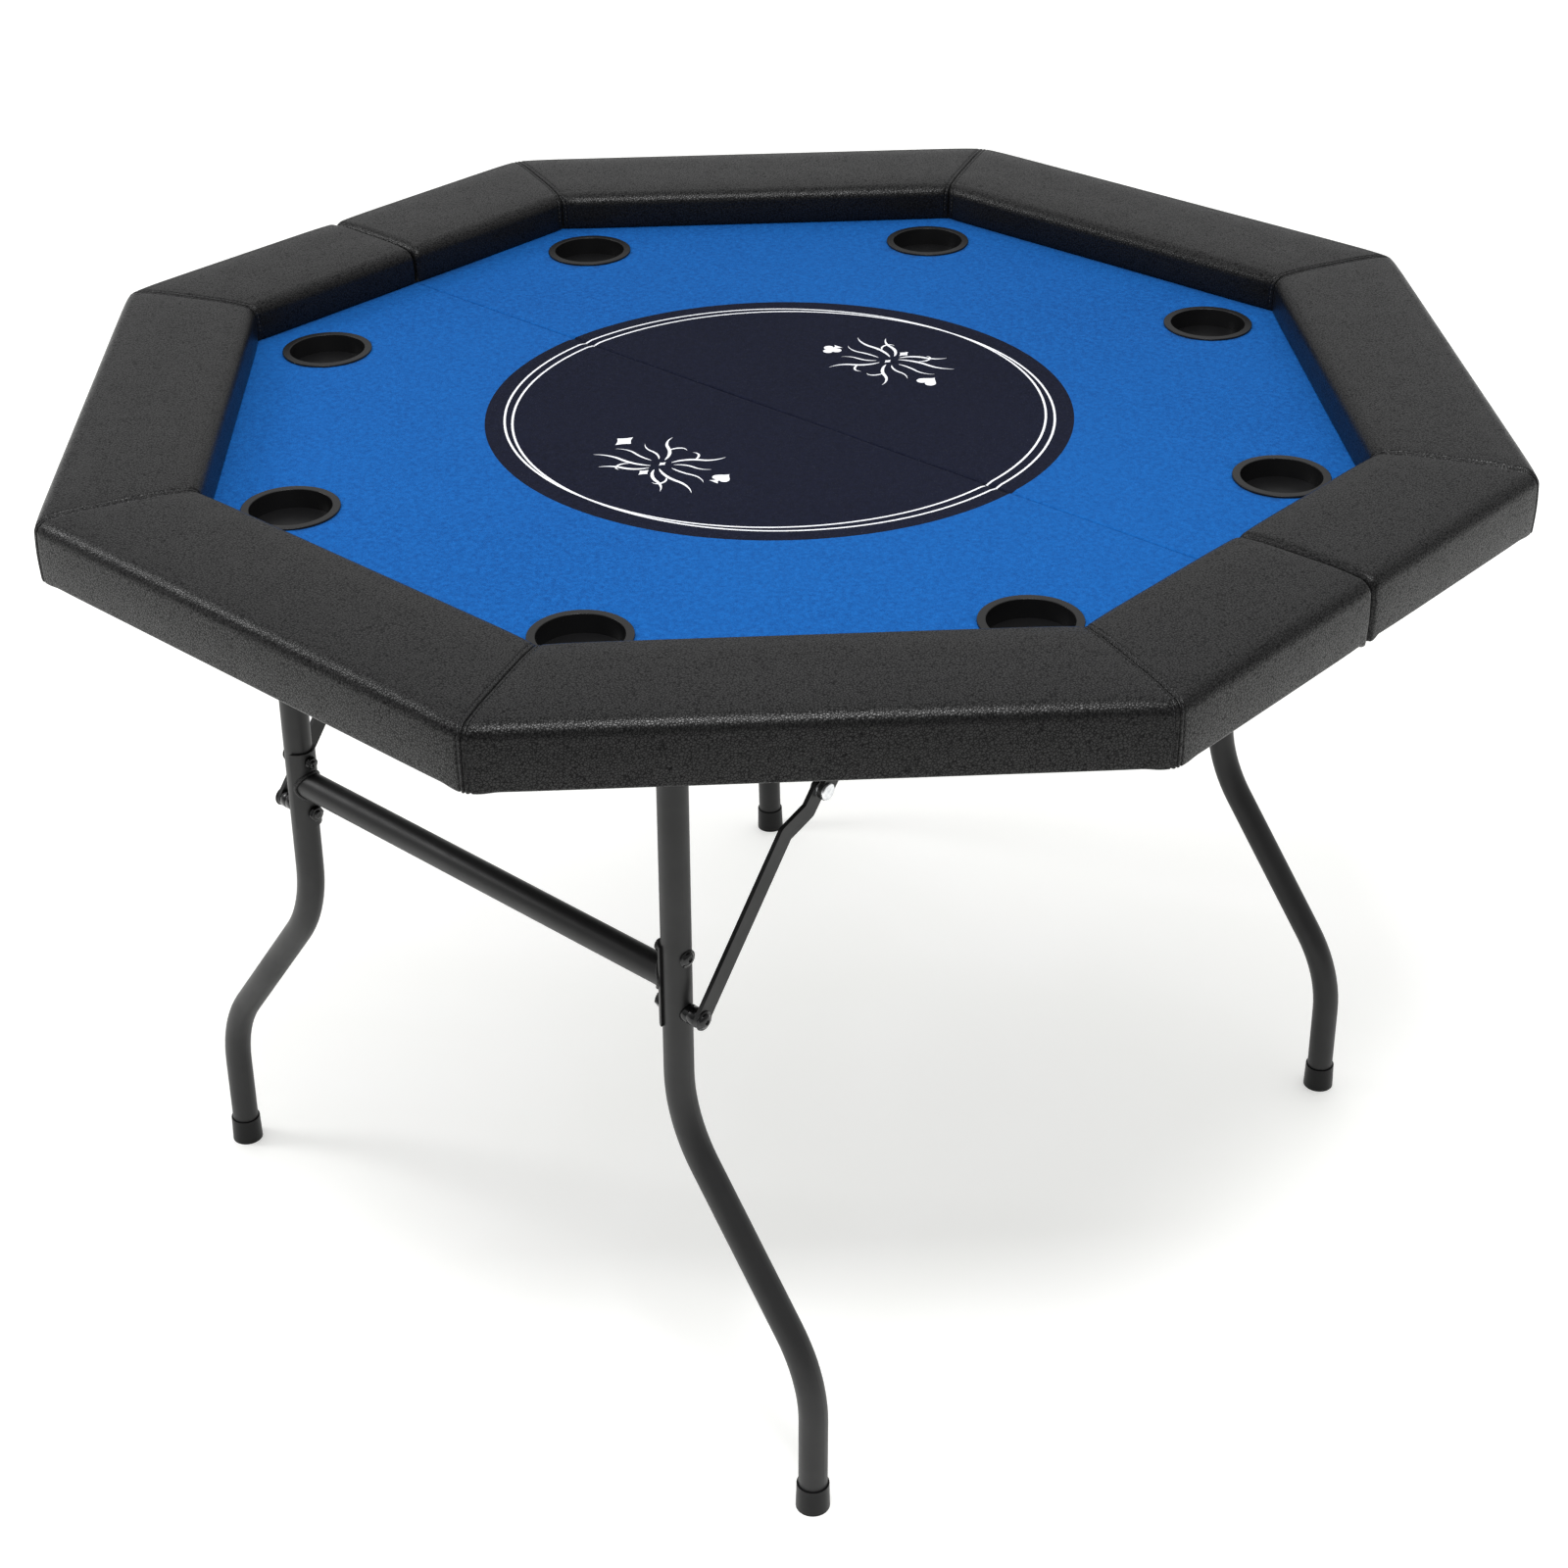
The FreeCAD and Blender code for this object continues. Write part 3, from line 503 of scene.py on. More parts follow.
def rail_section():
    """Closed cross-section: inner face, top, outer face, stapled flap, hidden walls."""
    points = [RailPoint(INNER + 1.6 * MM, FELT_TOP - HIDDEN_GAP, 0.2),
              RailPoint(INNER + 0.5 * MM, FELT_TOP + 0.7 * MM, 0.5)]
    for t in np.linspace(0.12, 1, 7):
        z = FELT_TOP + t * (RAIL_TOP - INNER_ROUND - FELT_TOP)
        points.append(RailPoint(INNER - FACE_BULGE * math.sin(math.pi * t), z))
    for a in np.radians(np.linspace(172, 90, 11)):
        points.append(RailPoint(INNER + INNER_ROUND * (1 + math.cos(a)),
                                RAIL_TOP - INNER_ROUND * (1 - math.sin(a))))
    top_from, top_to = INNER + INNER_ROUND, OUTER - OUTER_ROUND
    for t in np.linspace(0, 1, 19)[1:-1]:
        crown = TOP_CROWN * (1 - (2 * t - 1) ** 4)
        points.append(RailPoint(top_from + t * (top_to - top_from), RAIL_TOP + crown))
    for a in np.radians(np.linspace(90, 0, 14)):
        points.append(RailPoint(OUTER - OUTER_ROUND * (1 - math.cos(a)),
                                RAIL_TOP - OUTER_ROUND * (1 - math.sin(a))))
    face_from, face_to = RAIL_TOP - OUTER_ROUND, RAIL_BOTTOM + BOTTOM_ROUND
    for t in np.linspace(0, 1, 10)[1:]:
        z = face_from + t * (face_to - face_from)
        low = max(0.0, 1 - (z - RAIL_BOTTOM) / LIP_HEIGHT)
        points.append(RailPoint(OUTER + FACE_BULGE * math.sin(math.pi * t), z, 1.0, low))
    for a in np.radians(np.linspace(-22, -90, 4)):
        points.append(RailPoint(OUTER - BOTTOM_ROUND * (1 - math.cos(a)),
                                RAIL_BOTTOM + BOTTOM_ROUND * (1 + math.sin(a)), 1.0, 1.0))
    points.append(RailPoint(BOARD_APOTHEM, RAIL_BOTTOM - 0.6 * MM, 0.2, 0.75))
    flap_end = BOARD_APOTHEM - FLAP_WIDTH
    for t in (0.08, 0.2, 0.5, 0.8, 1.0):
        points.append(RailPoint(BOARD_APOTHEM - t * FLAP_WIDTH, RAIL_BOTTOM - FLAP_THICKNESS, 0.0,
                                max(0.0, 0.4 - 2 * t)))
    points.append(RailPoint(flap_end - 0.4 * MM, RAIL_BOTTOM - FLAP_THICKNESS / 2, 0.0))
    points.append(RailPoint(flap_end, RAIL_BOTTOM - 0.05 * MM, 0.0))
    wall_outer, wall_inner = BOARD_APOTHEM + HIDDEN_GAP, FELT_APOTHEM - HIDDEN_GAP
    points.append(RailPoint(wall_outer, RAIL_BOTTOM - 0.05 * MM, 0.0))
    points.append(RailPoint(wall_outer, CORE_TOP + HIDDEN_GAP, 0.0, core=True))
    points.append(RailPoint(wall_inner, CORE_TOP + HIDDEN_GAP, 0.0, core=True))
    points.append(RailPoint(wall_inner, FELT_TOP + HIDDEN_GAP, 0.0))
    for before, point, after in zip(points[-1:] + points[:-1], points, points[1:] + points[:1]):
        along = Vector((after.r - before.r, after.z - before.z)).normalized()
        point.nr, point.nz = -along.y, along.x
    return points


RAIL_SECTION = rail_section()


def smooth_step(value):
    value = min(1.0, max(0.0, value))
    return value * value * (3 - 2 * value)


def gauss(distance, width):
    return math.exp(-(distance / width) ** 2)


def end_inset(distance, radius):
    """How far a rounded edge falls away at a distance from the end plane."""
    if distance >= radius:
        return 0.0
    return radius - math.sqrt(radius ** 2 - (radius - distance) ** 2)


def rail_surface(point, seam, end):
    """Apothem and height of a section point at its distances from the seam and the end."""
    dip = SEAM_DIP * math.exp(-seam / SEAM_DIP_REACH)
    dip += SEAM_GROOVE * gauss(seam, SEAM_GROOVE_WIDTH)
    dip += STITCH_GROOVE * gauss(seam - STITCH_OFFSET, STITCH_GROOVE_WIDTH)
    dip += END_DIP * math.exp(-end / END_DIP_REACH)
    upward = max(0.0, point.nz)
    dip += end_inset(end, END_ROUND_FACE + (END_ROUND_TOP - END_ROUND_FACE) * upward)
    dip *= point.soft
    lip = max(SEAM_LIP_DROP * (1 - smooth_step((seam - SEAM_LIP_REACH) / SEAM_LIP_FADE)),
              END_LIP_DROP * (1 - smooth_step((end - END_LIP_REACH) / END_LIP_FADE)))
    height = point.z
    if point.core and end < CORE_SETBACK:
        height = BOARD_TOP + HIDDEN_GAP
    return point.r - dip * point.nr, height - dip * point.nz - lip * point.low


def side_point(angle, r, along, z):
    """Point of a side whose outward normal is at an angle, at a distance along the side."""
    normal = Vector((math.cos(angle), math.sin(angle), 0))
    tangent = Vector((-math.sin(angle), math.cos(angle), 0))
    return normal * r + tangent * along + Vector((0, 0, z))


def full_side_stations(angle):
    """Rings of a whole side, from its first seam to its last."""
    near = [step * MM for step in SEAM_STEPS]
    rings = []
    for step in near:
        rings.append(seam_ring(angle, -1, step))
    for i in range(1, MIDDLE_STEPS + 1):
        rings.append(middle_ring(angle, i / (MIDDLE_STEPS + 1), near[-1]))
    for step in reversed(near):
        rings.append(seam_ring(angle, 1, step))
    return rings


def seam_ring(angle, direction, distance):
    """Ring at a distance from the mitre plane at one end of a side."""
    ring = []
    for point in RAIL_SECTION:
        r, z = rail_surface(point, distance, FAR_FROM_END)
        ring.append(side_point(angle, r, direction * (r * TAN_HALF - distance / COS_HALF), z))
    return ring


def middle_ring(angle, share, margin):
    """Ring between the two seams of a side, a share of the way across."""
    ring = []
    for point in RAIL_SECTION:
        reach = point.r * TAN_HALF - margin / COS_HALF
        along = (2 * share - 1) * reach
        seam = (point.r * TAN_HALF - abs(along)) * COS_HALF
        r, z = rail_surface(point, seam, FAR_FROM_END)
        ring.append(side_point(angle, r, along, z))
    return ring


def half_side_stations(angle, direction):
    """Rings of the half side at the fold, from its seam to its end at the fold."""
    near = [step * MM for step in SEAM_STEPS]
    ends = [step * MM for step in END_STEPS]
    rings = [seam_ring(angle, direction, step) for step in near]
    for i in range(1, MIDDLE_STEPS):
        share = i / MIDDLE_STEPS
        ring = []
        for point in RAIL_SECTION:
            start = point.r * TAN_HALF - near[-1] / COS_HALF
            along = start + share * (ends[-1] + FOLD_GAP - start)
            seam = (point.r * TAN_HALF - along) * COS_HALF
            r, z = rail_surface(point, seam, along - FOLD_GAP)
            ring.append(side_point(angle, r, direction * along, z))
        rings.append(ring)
    for step in reversed(ends):
        ring = []
        for point in RAIL_SECTION:
            seam = (point.r * TAN_HALF - step - FOLD_GAP) * COS_HALF
            r, z = rail_surface(point, seam, step)
            ring.append(side_point(angle, r, direction * (step + FOLD_GAP), z))
        rings.append(ring)
    return rings


def build_rail(half, spin):
    """One upholstered half rail: five panels with four mitre seams and two closed ends."""
    rings = list(reversed(half_side_stations(math.pi, 1)))
    for k in (5, 6, 7):
        rings += full_side_stations(k * SIDE_ANGLE)[1:]
    rings += half_side_stations(0.0, -1)[1:]
    vertices = [v for ring in rings for v in ring]
    faces = capped_faces(len(rings), len(RAIL_SECTION))
    piece = add_piece("rail_upholstery_" + half, [(vertices, faces)], spin, LEATHER)
    work = bmesh.new()
    work.from_mesh(piece.data)
    bmesh.ops.recalc_face_normals(work, faces=work.faces)
    caps = [face for face in work.faces if len(face.verts) > 4]
    bmesh.ops.triangulate(work, faces=caps)
    work.to_mesh(piece.data)
    work.free()
    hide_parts("rail_pad_" + half)


def seam_path(angle, direction, offset):
    """Line of one stitch row down a mitre seam: over the inner face, top and outer face."""
    path = []
    for point in RAIL_SECTION[2:]:
        if point.soft < 1.0:
            break
        r, z = rail_surface(point, offset, FAR_FROM_END)
        along = direction * (r * TAN_HALF - offset / COS_HALF)
        path.append((side_point(angle, r, along, z), point))
    return path


def stitches_on(path, angle):
    """Separate stitches laid end to end along a path, each dipping into the leather."""
    points = [place for place, _ in path]
    outs = []
    for _, point in path:
        outs.append(Vector((math.cos(angle) * point.nr, math.sin(angle) * point.nr, point.nz)))
    lengths = [0.0]
    for a, b in zip(points, points[1:]):
        lengths.append(lengths[-1] + (b - a).length)

    def at(distance):
        i = max(0, min(int(np.searchsorted(lengths, distance)) - 1, len(points) - 2))
        share = (distance - lengths[i]) / max(lengths[i + 1] - lengths[i], 1e-9)
        return points[i].lerp(points[i + 1], share), outs[i].lerp(outs[i + 1], share)

    parts = []
    start = STITCH_PITCH
    while start + STITCH_LENGTH < lengths[-1] - STITCH_PITCH / 2:
        centres, radii = [], []
        for t in np.linspace(0, 1, 6):
            place, out = at(start + t * STITCH_LENGTH)
            arch = math.sin(math.pi * t) ** 0.6
            centres.append(place + out * STITCH_RADIUS * (1.1 * arch - 0.55))
            radii.append(STITCH_RADIUS * (0.55 + 0.45 * arch))
        parts.append(tube_rings(centres, radii, 6))
        start += STITCH_PITCH
    return parts


def build_stitching(half, spin):
    """Two stitch rows beside each mitre seam, one on either side."""
    parts = []
    sides = [(4, (1,)), (5, (-1, 1)), (6, (-1, 1)), (7, (-1, 1)), (8, (-1,))]
    for k, directions in sides:
        for direction in directions:
            angle = k * SIDE_ANGLE
            parts += stitches_on(seam_path(angle, direction, STITCH_OFFSET), angle)
    add_piece("rail_stitching_" + half, parts, spin, THREAD)


def build_end_welts(half, spin):
    """Leather welt down the outer corner of each closed rail end, beside the fold."""
    parts = []
    for side in (-1, 1):
        low, high = RAIL_BOTTOM - WELT_LOW, RAIL_TOP - OUTER_ROUND * 1.1
        centres, radii = [], []
        for t in np.linspace(0, 1, 15):
            z = low + t * (high - low)
            tuck = WELT_TUCK * t * t
            centres.append(Vector((side * (OUTER - WELT_INSET - tuck),
                                   -FOLD_GAP - WELT_FOLD_INSET - tuck, z)))
            ease = min(1.0, 6 * t + 0.35, 5 * (1 - t) + 0.25)
            radii.append(WELT_RADIUS * ease)
        parts.append(tube_rings(centres, radii, 12, Vector((0, 1, 0))))
    add_piece("rail_end_welts_" + half, parts, spin, LEATHER)


def build_staples(half, spin):
    """Staples that hold the leather flap under the board's edge."""
    parts = []
    inset = BOARD_APOTHEM - 0.62 * FLAP_WIDTH
    wire = STAPLE_WIRE
    for k in range(4, SIDES + 1):
        angle = k * SIDE_ANGLE
        reach = inset * TAN_HALF - STAPLE_CORNER_MARGIN
        for spot in np.arange(-reach, reach + STAPLE_PITCH / 2, STAPLE_PITCH):
            middle = side_point(angle, inset, spot, 0)
            if middle.y > -STAPLE_FOLD_MARGIN:
                continue
            tilt = 0.35 * math.sin(57 * spot + k)
            along = side_point(angle + tilt, 0, 1, 0)
            z = RAIL_BOTTOM - FLAP_THICKNESS - wire * 0.6
            centres = [middle + along * (STAPLE_CROWN * t) + Vector((0, 0, z + lift))
                       for t, lift in ((-0.5, 3 * wire), (-0.5, wire), (-0.44, 0), (0, 0), (0.44, 0),
                                       (0.5, wire), (0.5, 3 * wire))]
            parts.append(tube_rings(centres, [wire] * len(centres), 6))
    add_piece("flap_staples_" + half, parts, spin, ZINC)


# ---------------- felt with its print

def ribbon(points, width):
    """Outline of a stroke that swells in the middle and thins to its tips."""
    points = [Vector(p) for p in points]
    left, right = [], []
    last = len(points) - 1
    for i, point in enumerate(points):
        ahead = (points[min(i + 1, last)] - points[max(i - 1, 0)]).normalized()
        half = width / 2 * (0.08 + 0.92 * math.sin(math.pi * (i / last) ** 0.7) ** STROKE_TAPER)
        across = Vector((-ahead.y, ahead.x)) * half
        left.append(point + across)
        right.append(point - across)
    return left + right[::-1]


def curl(start, heading, turns):
    """Points of a stroke that starts at a place and bends in (length, turn) runs."""
    place = Vector(start)
    points = [place.copy()]
    for length, turn in turns:
        for _ in range(CURL_STEPS):
            heading += turn / CURL_STEPS
            place = place + Vector((math.cos(heading), math.sin(heading))) * (length / CURL_STEPS)
            points.append(place.copy())
    return points


def mirrored_x(outline):
    return [Vector((-p.x, p.y)) for p in outline][::-1]


def moved(outline, x, y):
    return [Vector((p.x + x, p.y + y)) for p in outline]


def circle_outline(radius, x=0.0, y=0.0, steps=96):
    return [Vector((x + radius * math.cos(2 * math.pi * i / steps),
                    y + radius * math.sin(2 * math.pi * i / steps))) for i in range(steps)]


def diamond_outline(half_width, half_height):
    """Card diamond with slightly hollow sides."""
    corners = [(half_width, 0), (0, half_height), (-half_width, 0), (0, -half_height)]
    outline = []
    for (x0, y0), (x1, y1) in zip(corners, corners[1:] + corners[:1]):
        for i in range(8):
            t = i / 8
            hollow = 1 - 0.30 * math.sin(math.pi * t) * 0.5
            outline.append(Vector(((x0 + (x1 - x0) * t) * hollow, (y0 + (y1 - y0) * t) * hollow)))
    return outline


def heart_outline(size):
    outline = []
    for i in range(44):
        t = 2 * math.pi * i / 44
        x = 16 * math.sin(t) ** 3
        y = 13 * math.cos(t) - 5 * math.cos(2 * t) - 2 * math.cos(3 * t) - math.cos(4 * t)
        outline.append(Vector((x, y)) * (size / 34))
    return outline


def stem_outline(size):
    """Flared stem under a spade or a club."""
    rows = ((0.00, 0.05), (-0.18, 0.06), (-0.34, 0.11), (-0.46, 0.24))
    right = [Vector((w * size, y * size)) for y, w in rows]
    left = [Vector((-w * size, y * size)) for y, w in rows]
    return right + left[::-1]


def spade_outlines(size):
    leaf = [Vector((p.x, -p.y)) for p in heart_outline(size * 0.86)][::-1]
    return [moved(leaf, 0, 0.06 * size), stem_outline(size)]


def club_outlines(size):
    lobe = 0.215 * size
    lobes = [circle_outline(lobe, x * size, y * size, 28)
             for x, y in ((0, 0.25), (-0.23, -0.06), (0.23, -0.06), (0, 0.03))]
    return lobes + [stem_outline(size)]


def scrollwork():
    """Tapered scrolls round the motif centre, the same on the left and on the right."""
    strokes = []
    wide, thin = STROKE_WIDE, STROKE_THIN
    runs = (
        ((4, 8), 1.35, ((27, -0.85), (22, 0.95)), wide),
        ((9, 6), 0.90, ((19, -0.90), (16, 0.85)), thin),
        ((12, 0), -0.15, ((22, 0.40), (20, -0.95)), thin),
        ((5, -8), -0.60, ((31, 0.65), (26, -0.75)), wide),
        ((3, -12), -1.20, ((25, 0.95), (20, -0.80)), wide),
        ((22, -17), -0.55, ((13, -1.30), (8, -1.60)), thin),
        ((15, 25), 1.50, ((11, 0.90), (8, 1.40)), thin),
    )
    for start, heading, turns, width in runs:
        turns = [(length * MM, turn) for length, turn in turns]
        stroke = ribbon(curl((start[0] * MM, start[1] * MM), heading, turns), width)
        strokes += [stroke, mirrored_x(stroke)]
    return strokes


def motif(half):
    """White print of one half: scrolls, a small diamond and two card suits. The outlines are
    for the front half's place; the rear half is the same drawing turned half a turn."""
    outlines = [moved(stroke, 0, MOTIF_Y) for stroke in scrollwork()]
    outlines.append(moved(diamond_outline(4.6 * MM, 6.4 * MM), 0, MOTIF_Y - 22 * MM))
    outlines.append(moved(diamond_outline(3.0 * MM, 4.4 * MM), 0, MOTIF_Y + 1 * MM))
    size = SUIT_SIZE
    if half == "front":
        outlines.append(moved(diamond_outline(size * 0.40, size * 0.52), -SUIT_X, SUIT_Y))
        outlines += [moved(part, SUIT_X, SUIT_Y) for part in spade_outlines(size)]
    else:
        outlines.append(moved(heart_outline(size), -SUIT_X, SUIT_Y))
        outlines += [moved(part, SUIT_X, SUIT_Y) for part in club_outlines(size)]
    return outlines


def inside(outline, x, y):
    """Which of many points lie inside a closed outline."""
    hit = np.zeros(len(x), dtype=bool)
    last = outline[-1]
    for corner in outline:
        crosses = (corner.y > y) != (last.y > y)
        with np.errstate(divide="ignore", invalid="ignore"):
            edge_x = (last.x - corner.x) * (y - corner.y) / (last.y - corner.y) + corner.x
        hit ^= crosses & (x < edge_x)
        last = corner
    return hit


def front_corners(radius):
    """Places towards the four corners of the front half, at a radius from the middle."""
    angles = [math.pi + HALF_ANGLE + k * SIDE_ANGLE for k in range(4)]
    return [(radius * math.cos(a), radius * math.sin(a)) for a in angles]


def half_octagon(apothem, end):
    """Outline of the front half of an octagon, up to a line y = end at the fold."""
    corners = [(-apothem, end), *front_corners(apothem / COS_HALF), (apothem, end)]
    return [Vector(corner) for corner in corners]


def cup_loops(steps):
    """Outlines of the four cup holes of the front half."""
    return [circle_outline(CUP_HOLE, x, y, steps) for x, y in front_corners(CUP_CIRCLE)]


def triangulated(loops, more_points):
    """Flat points, faces and face middles of the triangles that keep to closed loops."""
    points, edges = [], []
    for loop in loops:
        start, size = len(points), len(loop)
        points += loop
        edges += [(start + i, start + (i + 1) % size) for i in range(size)]
    flat, _, faces, *_ = delaunay_2d_cdt(points + more_points, edges, [], 0, 1e-6)
    middles = np.array([sum((flat[i] for i in face), Vector((0, 0))) / len(face) for face in faces])
    return flat, faces, middles


def cloth_faces(middles, outline, cups):
    """Which faces lie inside the outline and outside the cup holes."""
    x, y = middles[:, 0], middles[:, 1]
    keep = inside(outline, x, y)
    for cup in cups:
        keep &= ~inside(cup, x, y)
    return keep


def rolled(x, y):
    """Place of a flat cloth point: level on the board, then turned down at the fold."""
    roll_from = -FOLD_GAP + FELT_THICKNESS * 0.9 - FELT_ROLL
    top = FELT_TOP + 0.12 * MM * math.sin(23 * x + 3 * y) * math.sin(19 * y + 2)
    past = y - roll_from
    if past <= 0:
        return Vector((x, y, top))
    angle = min(past / FELT_ROLL, math.pi / 2)
    down = max(0.0, past - FELT_ROLL * math.pi / 2)
    return Vector((x, roll_from + FELT_ROLL * math.sin(angle),
                   top - FELT_ROLL * (1 - math.cos(angle)) - down))


def build_felt(half, spin):
    """Felt of one half as one cloth, cut for the cup holders and printed."""
    outline = half_octagon(FELT_APOTHEM, FELT_TURN_DOWN)
    cups = cup_loops(48)
    disc = circle_outline(DISC_RADIUS, steps=220)
    rings = [circle_outline(RING_RADIUS + side * RING_WIDTH / 2, shift * RING_SHIFT, 0, 200)
             for shift in (-1, 1) for side in (-1, 1)]
    marks = motif(half)

    grid_x = np.arange(-FELT_APOTHEM, FELT_APOTHEM, FELT_GRID)
    grid_y = np.arange(-FELT_APOTHEM, -FELT_GRID / 2, FELT_GRID)
    fold_rows = np.array([-4, -2, -1.2, -0.4, 0.4, 1.2, 2, 4]) * MM
    grid = [Vector((x, y)) for x in grid_x for y in (*grid_y, *fold_rows)]
    flat, faces, middles = triangulated([outline] + cups + [disc] + rings + marks, grid)
    keep = cloth_faces(middles, outline, cups)
    x, y = middles[:, 0], middles[:, 1]
    navy = np.hypot(x, y) < DISC_RADIUS
    white = np.zeros(len(x), dtype=bool)
    for shift in (-1, 1):
        white |= np.abs(np.hypot(x - shift * RING_SHIFT, y) - RING_RADIUS) < RING_WIDTH / 2
    for mark in marks:
        white |= inside(mark, x, y)
    colour = np.where(white, 2, np.where(navy, 1, 0))

    vertices = turned([rolled(*place) for place in flat], spin)
    kept = [i for i in range(len(faces)) if keep[i]]
    mesh = bpy.data.meshes.new("felt_cloth_" + half)
    mesh.from_pydata([tuple(v) for v in vertices], [], [tuple(faces[i]) for i in kept])
    for material in (FELT_BLUE, FELT_NAVY, FELT_WHITE):
        mesh.materials.append(material)
    mesh.polygons.foreach_set("material_index", [int(colour[i]) for i in kept])
    mesh.shade_smooth()
    work = bmesh.new()
    work.from_mesh(mesh)
    bmesh.ops.delete(work, geom=[v for v in work.verts if not v.link_faces], context="VERTS")
    for face in work.faces:
        if face.normal.z < -0.5:
            face.normal_flip()
    work.to_mesh(mesh)
    work.free()
    piece = placed(mesh, "tabletop")
    thick = piece.modifiers.new("thickness", "SOLIDIFY")
    thick.thickness = FELT_THICKNESS
    thick.offset = -1
    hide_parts("felt_" + half)


def build_underlay(half, spin):
    """Thin foam underlay between the board and the felt, seen only in the fold gap."""
    outline = half_octagon(FELT_APOTHEM - UNDERLAY_INSET, -FOLD_GAP - HIDDEN_GAP)
    cups = cup_loops(40)
    flat, faces, middles = triangulated([outline] + cups, [])
    keep = cloth_faces(middles, outline, cups)
    low, high = BOARD_TOP + 0.1 * MM, FELT_TOP - FELT_THICKNESS - 0.3 * MM
    work = bmesh.new()
    corners = [work.verts.new((p.x, p.y, low)) for p in flat]
    bottom = [work.faces.new([corners[i] for i in faces[n]]) for n in range(len(faces)) if keep[n]]
    lifted = bmesh.ops.extrude_face_region(work, geom=bottom)
    tops = [item for item in lifted["geom"] if isinstance(item, bmesh.types.BMVert)]
    bmesh.ops.translate(work, verts=tops, vec=(0, 0, high - low))
    bmesh.ops.delete(work, geom=[v for v in work.verts if not v.link_faces], context="VERTS")
    bmesh.ops.recalc_face_normals(work, faces=work.faces)
    bmesh.ops.rotate(work, verts=work.verts, cent=(0, 0, 0), matrix=Matrix.Rotation(spin, 3, "Z"))
    mesh = bpy.data.meshes.new("foam_underlay_" + half)
    work.to_mesh(mesh)
    work.free()
    mesh.materials.append(FELT_NAVY)
    placed(mesh, "tabletop")


# ---------------- leg frame details

def build_welds(half, spin):
    """Weld beads where the crossbar meets its saddle plates and the legs meet the pivot tube."""
    low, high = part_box("crossbar_front")
    bar_y, bar_z = (low.y + high.y) / 2, (low.z + high.z) / 2
    bar_radius = (high.z - low.z) / 2
    saddle_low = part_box("saddle_plates_front")[0]
    plate_radius = bar_radius + SADDLE_THICKNESS
    upright = -saddle_low.x + SADDLE_WRAP
    beads = []
    bead_radius = bar_radius + WELD_CLEARANCE
    for side in (-1, 1):
        crossbar_path, top_path = [], []
        for i in range(WELD_STEPS):
            a = 2 * math.pi * i / WELD_STEPS
            across = bead_radius * math.cos(a)
            x = upright - math.sqrt(max(plate_radius ** 2 - min(across ** 2, plate_radius ** 2), 0.0))
            crossbar_path.append(Vector((side * (x - 0.4 * MM), bar_y + across,
                                         bar_z + bead_radius * math.sin(a))))
            depth = abs(bar_radius * math.cos(a))
            top_path.append(Vector((side * (upright + bar_radius * math.cos(a)),
                                    PIVOT_Y + bar_radius * math.sin(a), PIVOT_Z - depth)))
        for path, size in ((crossbar_path, CROSSBAR_WELD), (top_path, PIVOT_WELD)):
            beads.append(weld_bead(path, size))
    add_piece("weld_beads_" + half, beads, spin, POWDER, "leg_frame_" + half)


def lathe(profile, origin, axis):
    """Closed turned solid: (radius, height, hexagonal) rings along an axis."""
    axis = Vector(axis).normalized()
    across = axis.cross(Vector((0, 0, 1))).normalized()
    over = axis.cross(across)
    vertices = []
    for radius, height, hexagonal in profile:
        for i in range(LATHE_STEPS):
            a = 2 * math.pi * i / LATHE_STEPS
            reach = radius
            if hexagonal:
                reach *= math.cos(math.pi / 6) / math.cos((a % (math.pi / 3)) - math.pi / 6)
            vertices.append(Vector(origin) + axis * height
                            + (across * math.cos(a) + over * math.sin(a)) * reach)
    return vertices, capped_faces(len(profile), LATHE_STEPS)


def dome_head(origin, axis, radius, height):
    """Domed bolt head on a washer, with a hexagonal socket."""
    washer, thick = radius * 1.30, 1.1 * MM
    profile = [(washer, 0, False), (washer + 0.3 * MM, 0.3 * thick, False),
               (washer, thick, False), (radius, thick, False)]
    for a in np.radians(np.linspace(12, 64, 7)):
        profile.append((radius * math.cos(a) / math.cos(math.radians(12)),
                        thick + height * float(math.sin(a)), False))
    top = thick + height * 0.93
    profile += [(radius * 0.40, top, True), (radius * 0.36, top - 0.35 * MM, True),
                (radius * 0.36, top - 0.55 * height, True)]
    return lathe(profile, origin, axis)


def hex_nut(origin, axis, radius, height, bolt):
    """Chamfered hexagonal nut with the rounded end of its bolt."""
    profile = [(radius * 0.88, 0, False), (radius, 0.12 * height, True),
               (radius, 0.85 * height, True), (radius * 0.84, height, False),
               (bolt * 1.15, height, False), (bolt, height - 0.3 * MM, False),
               (bolt, height + 1.2 * MM, False), (bolt * 0.75, height + 1.8 * MM, False)]
    return lathe(profile, origin, axis)


def spacer(origin, axis, radius, length):
    """Round spacer with eased edges and a waist line."""
    ease, middle = 0.8 * MM, length / 2
    profile = [(radius - ease, 0, False), (radius, ease, False),
               (radius, middle - 0.5 * MM, False), (radius - 0.35 * MM, middle, False),
               (radius, middle + 0.5 * MM, False), (radius, length - ease, False),
               (radius - ease, length, False)]
    return lathe(profile, origin, axis)


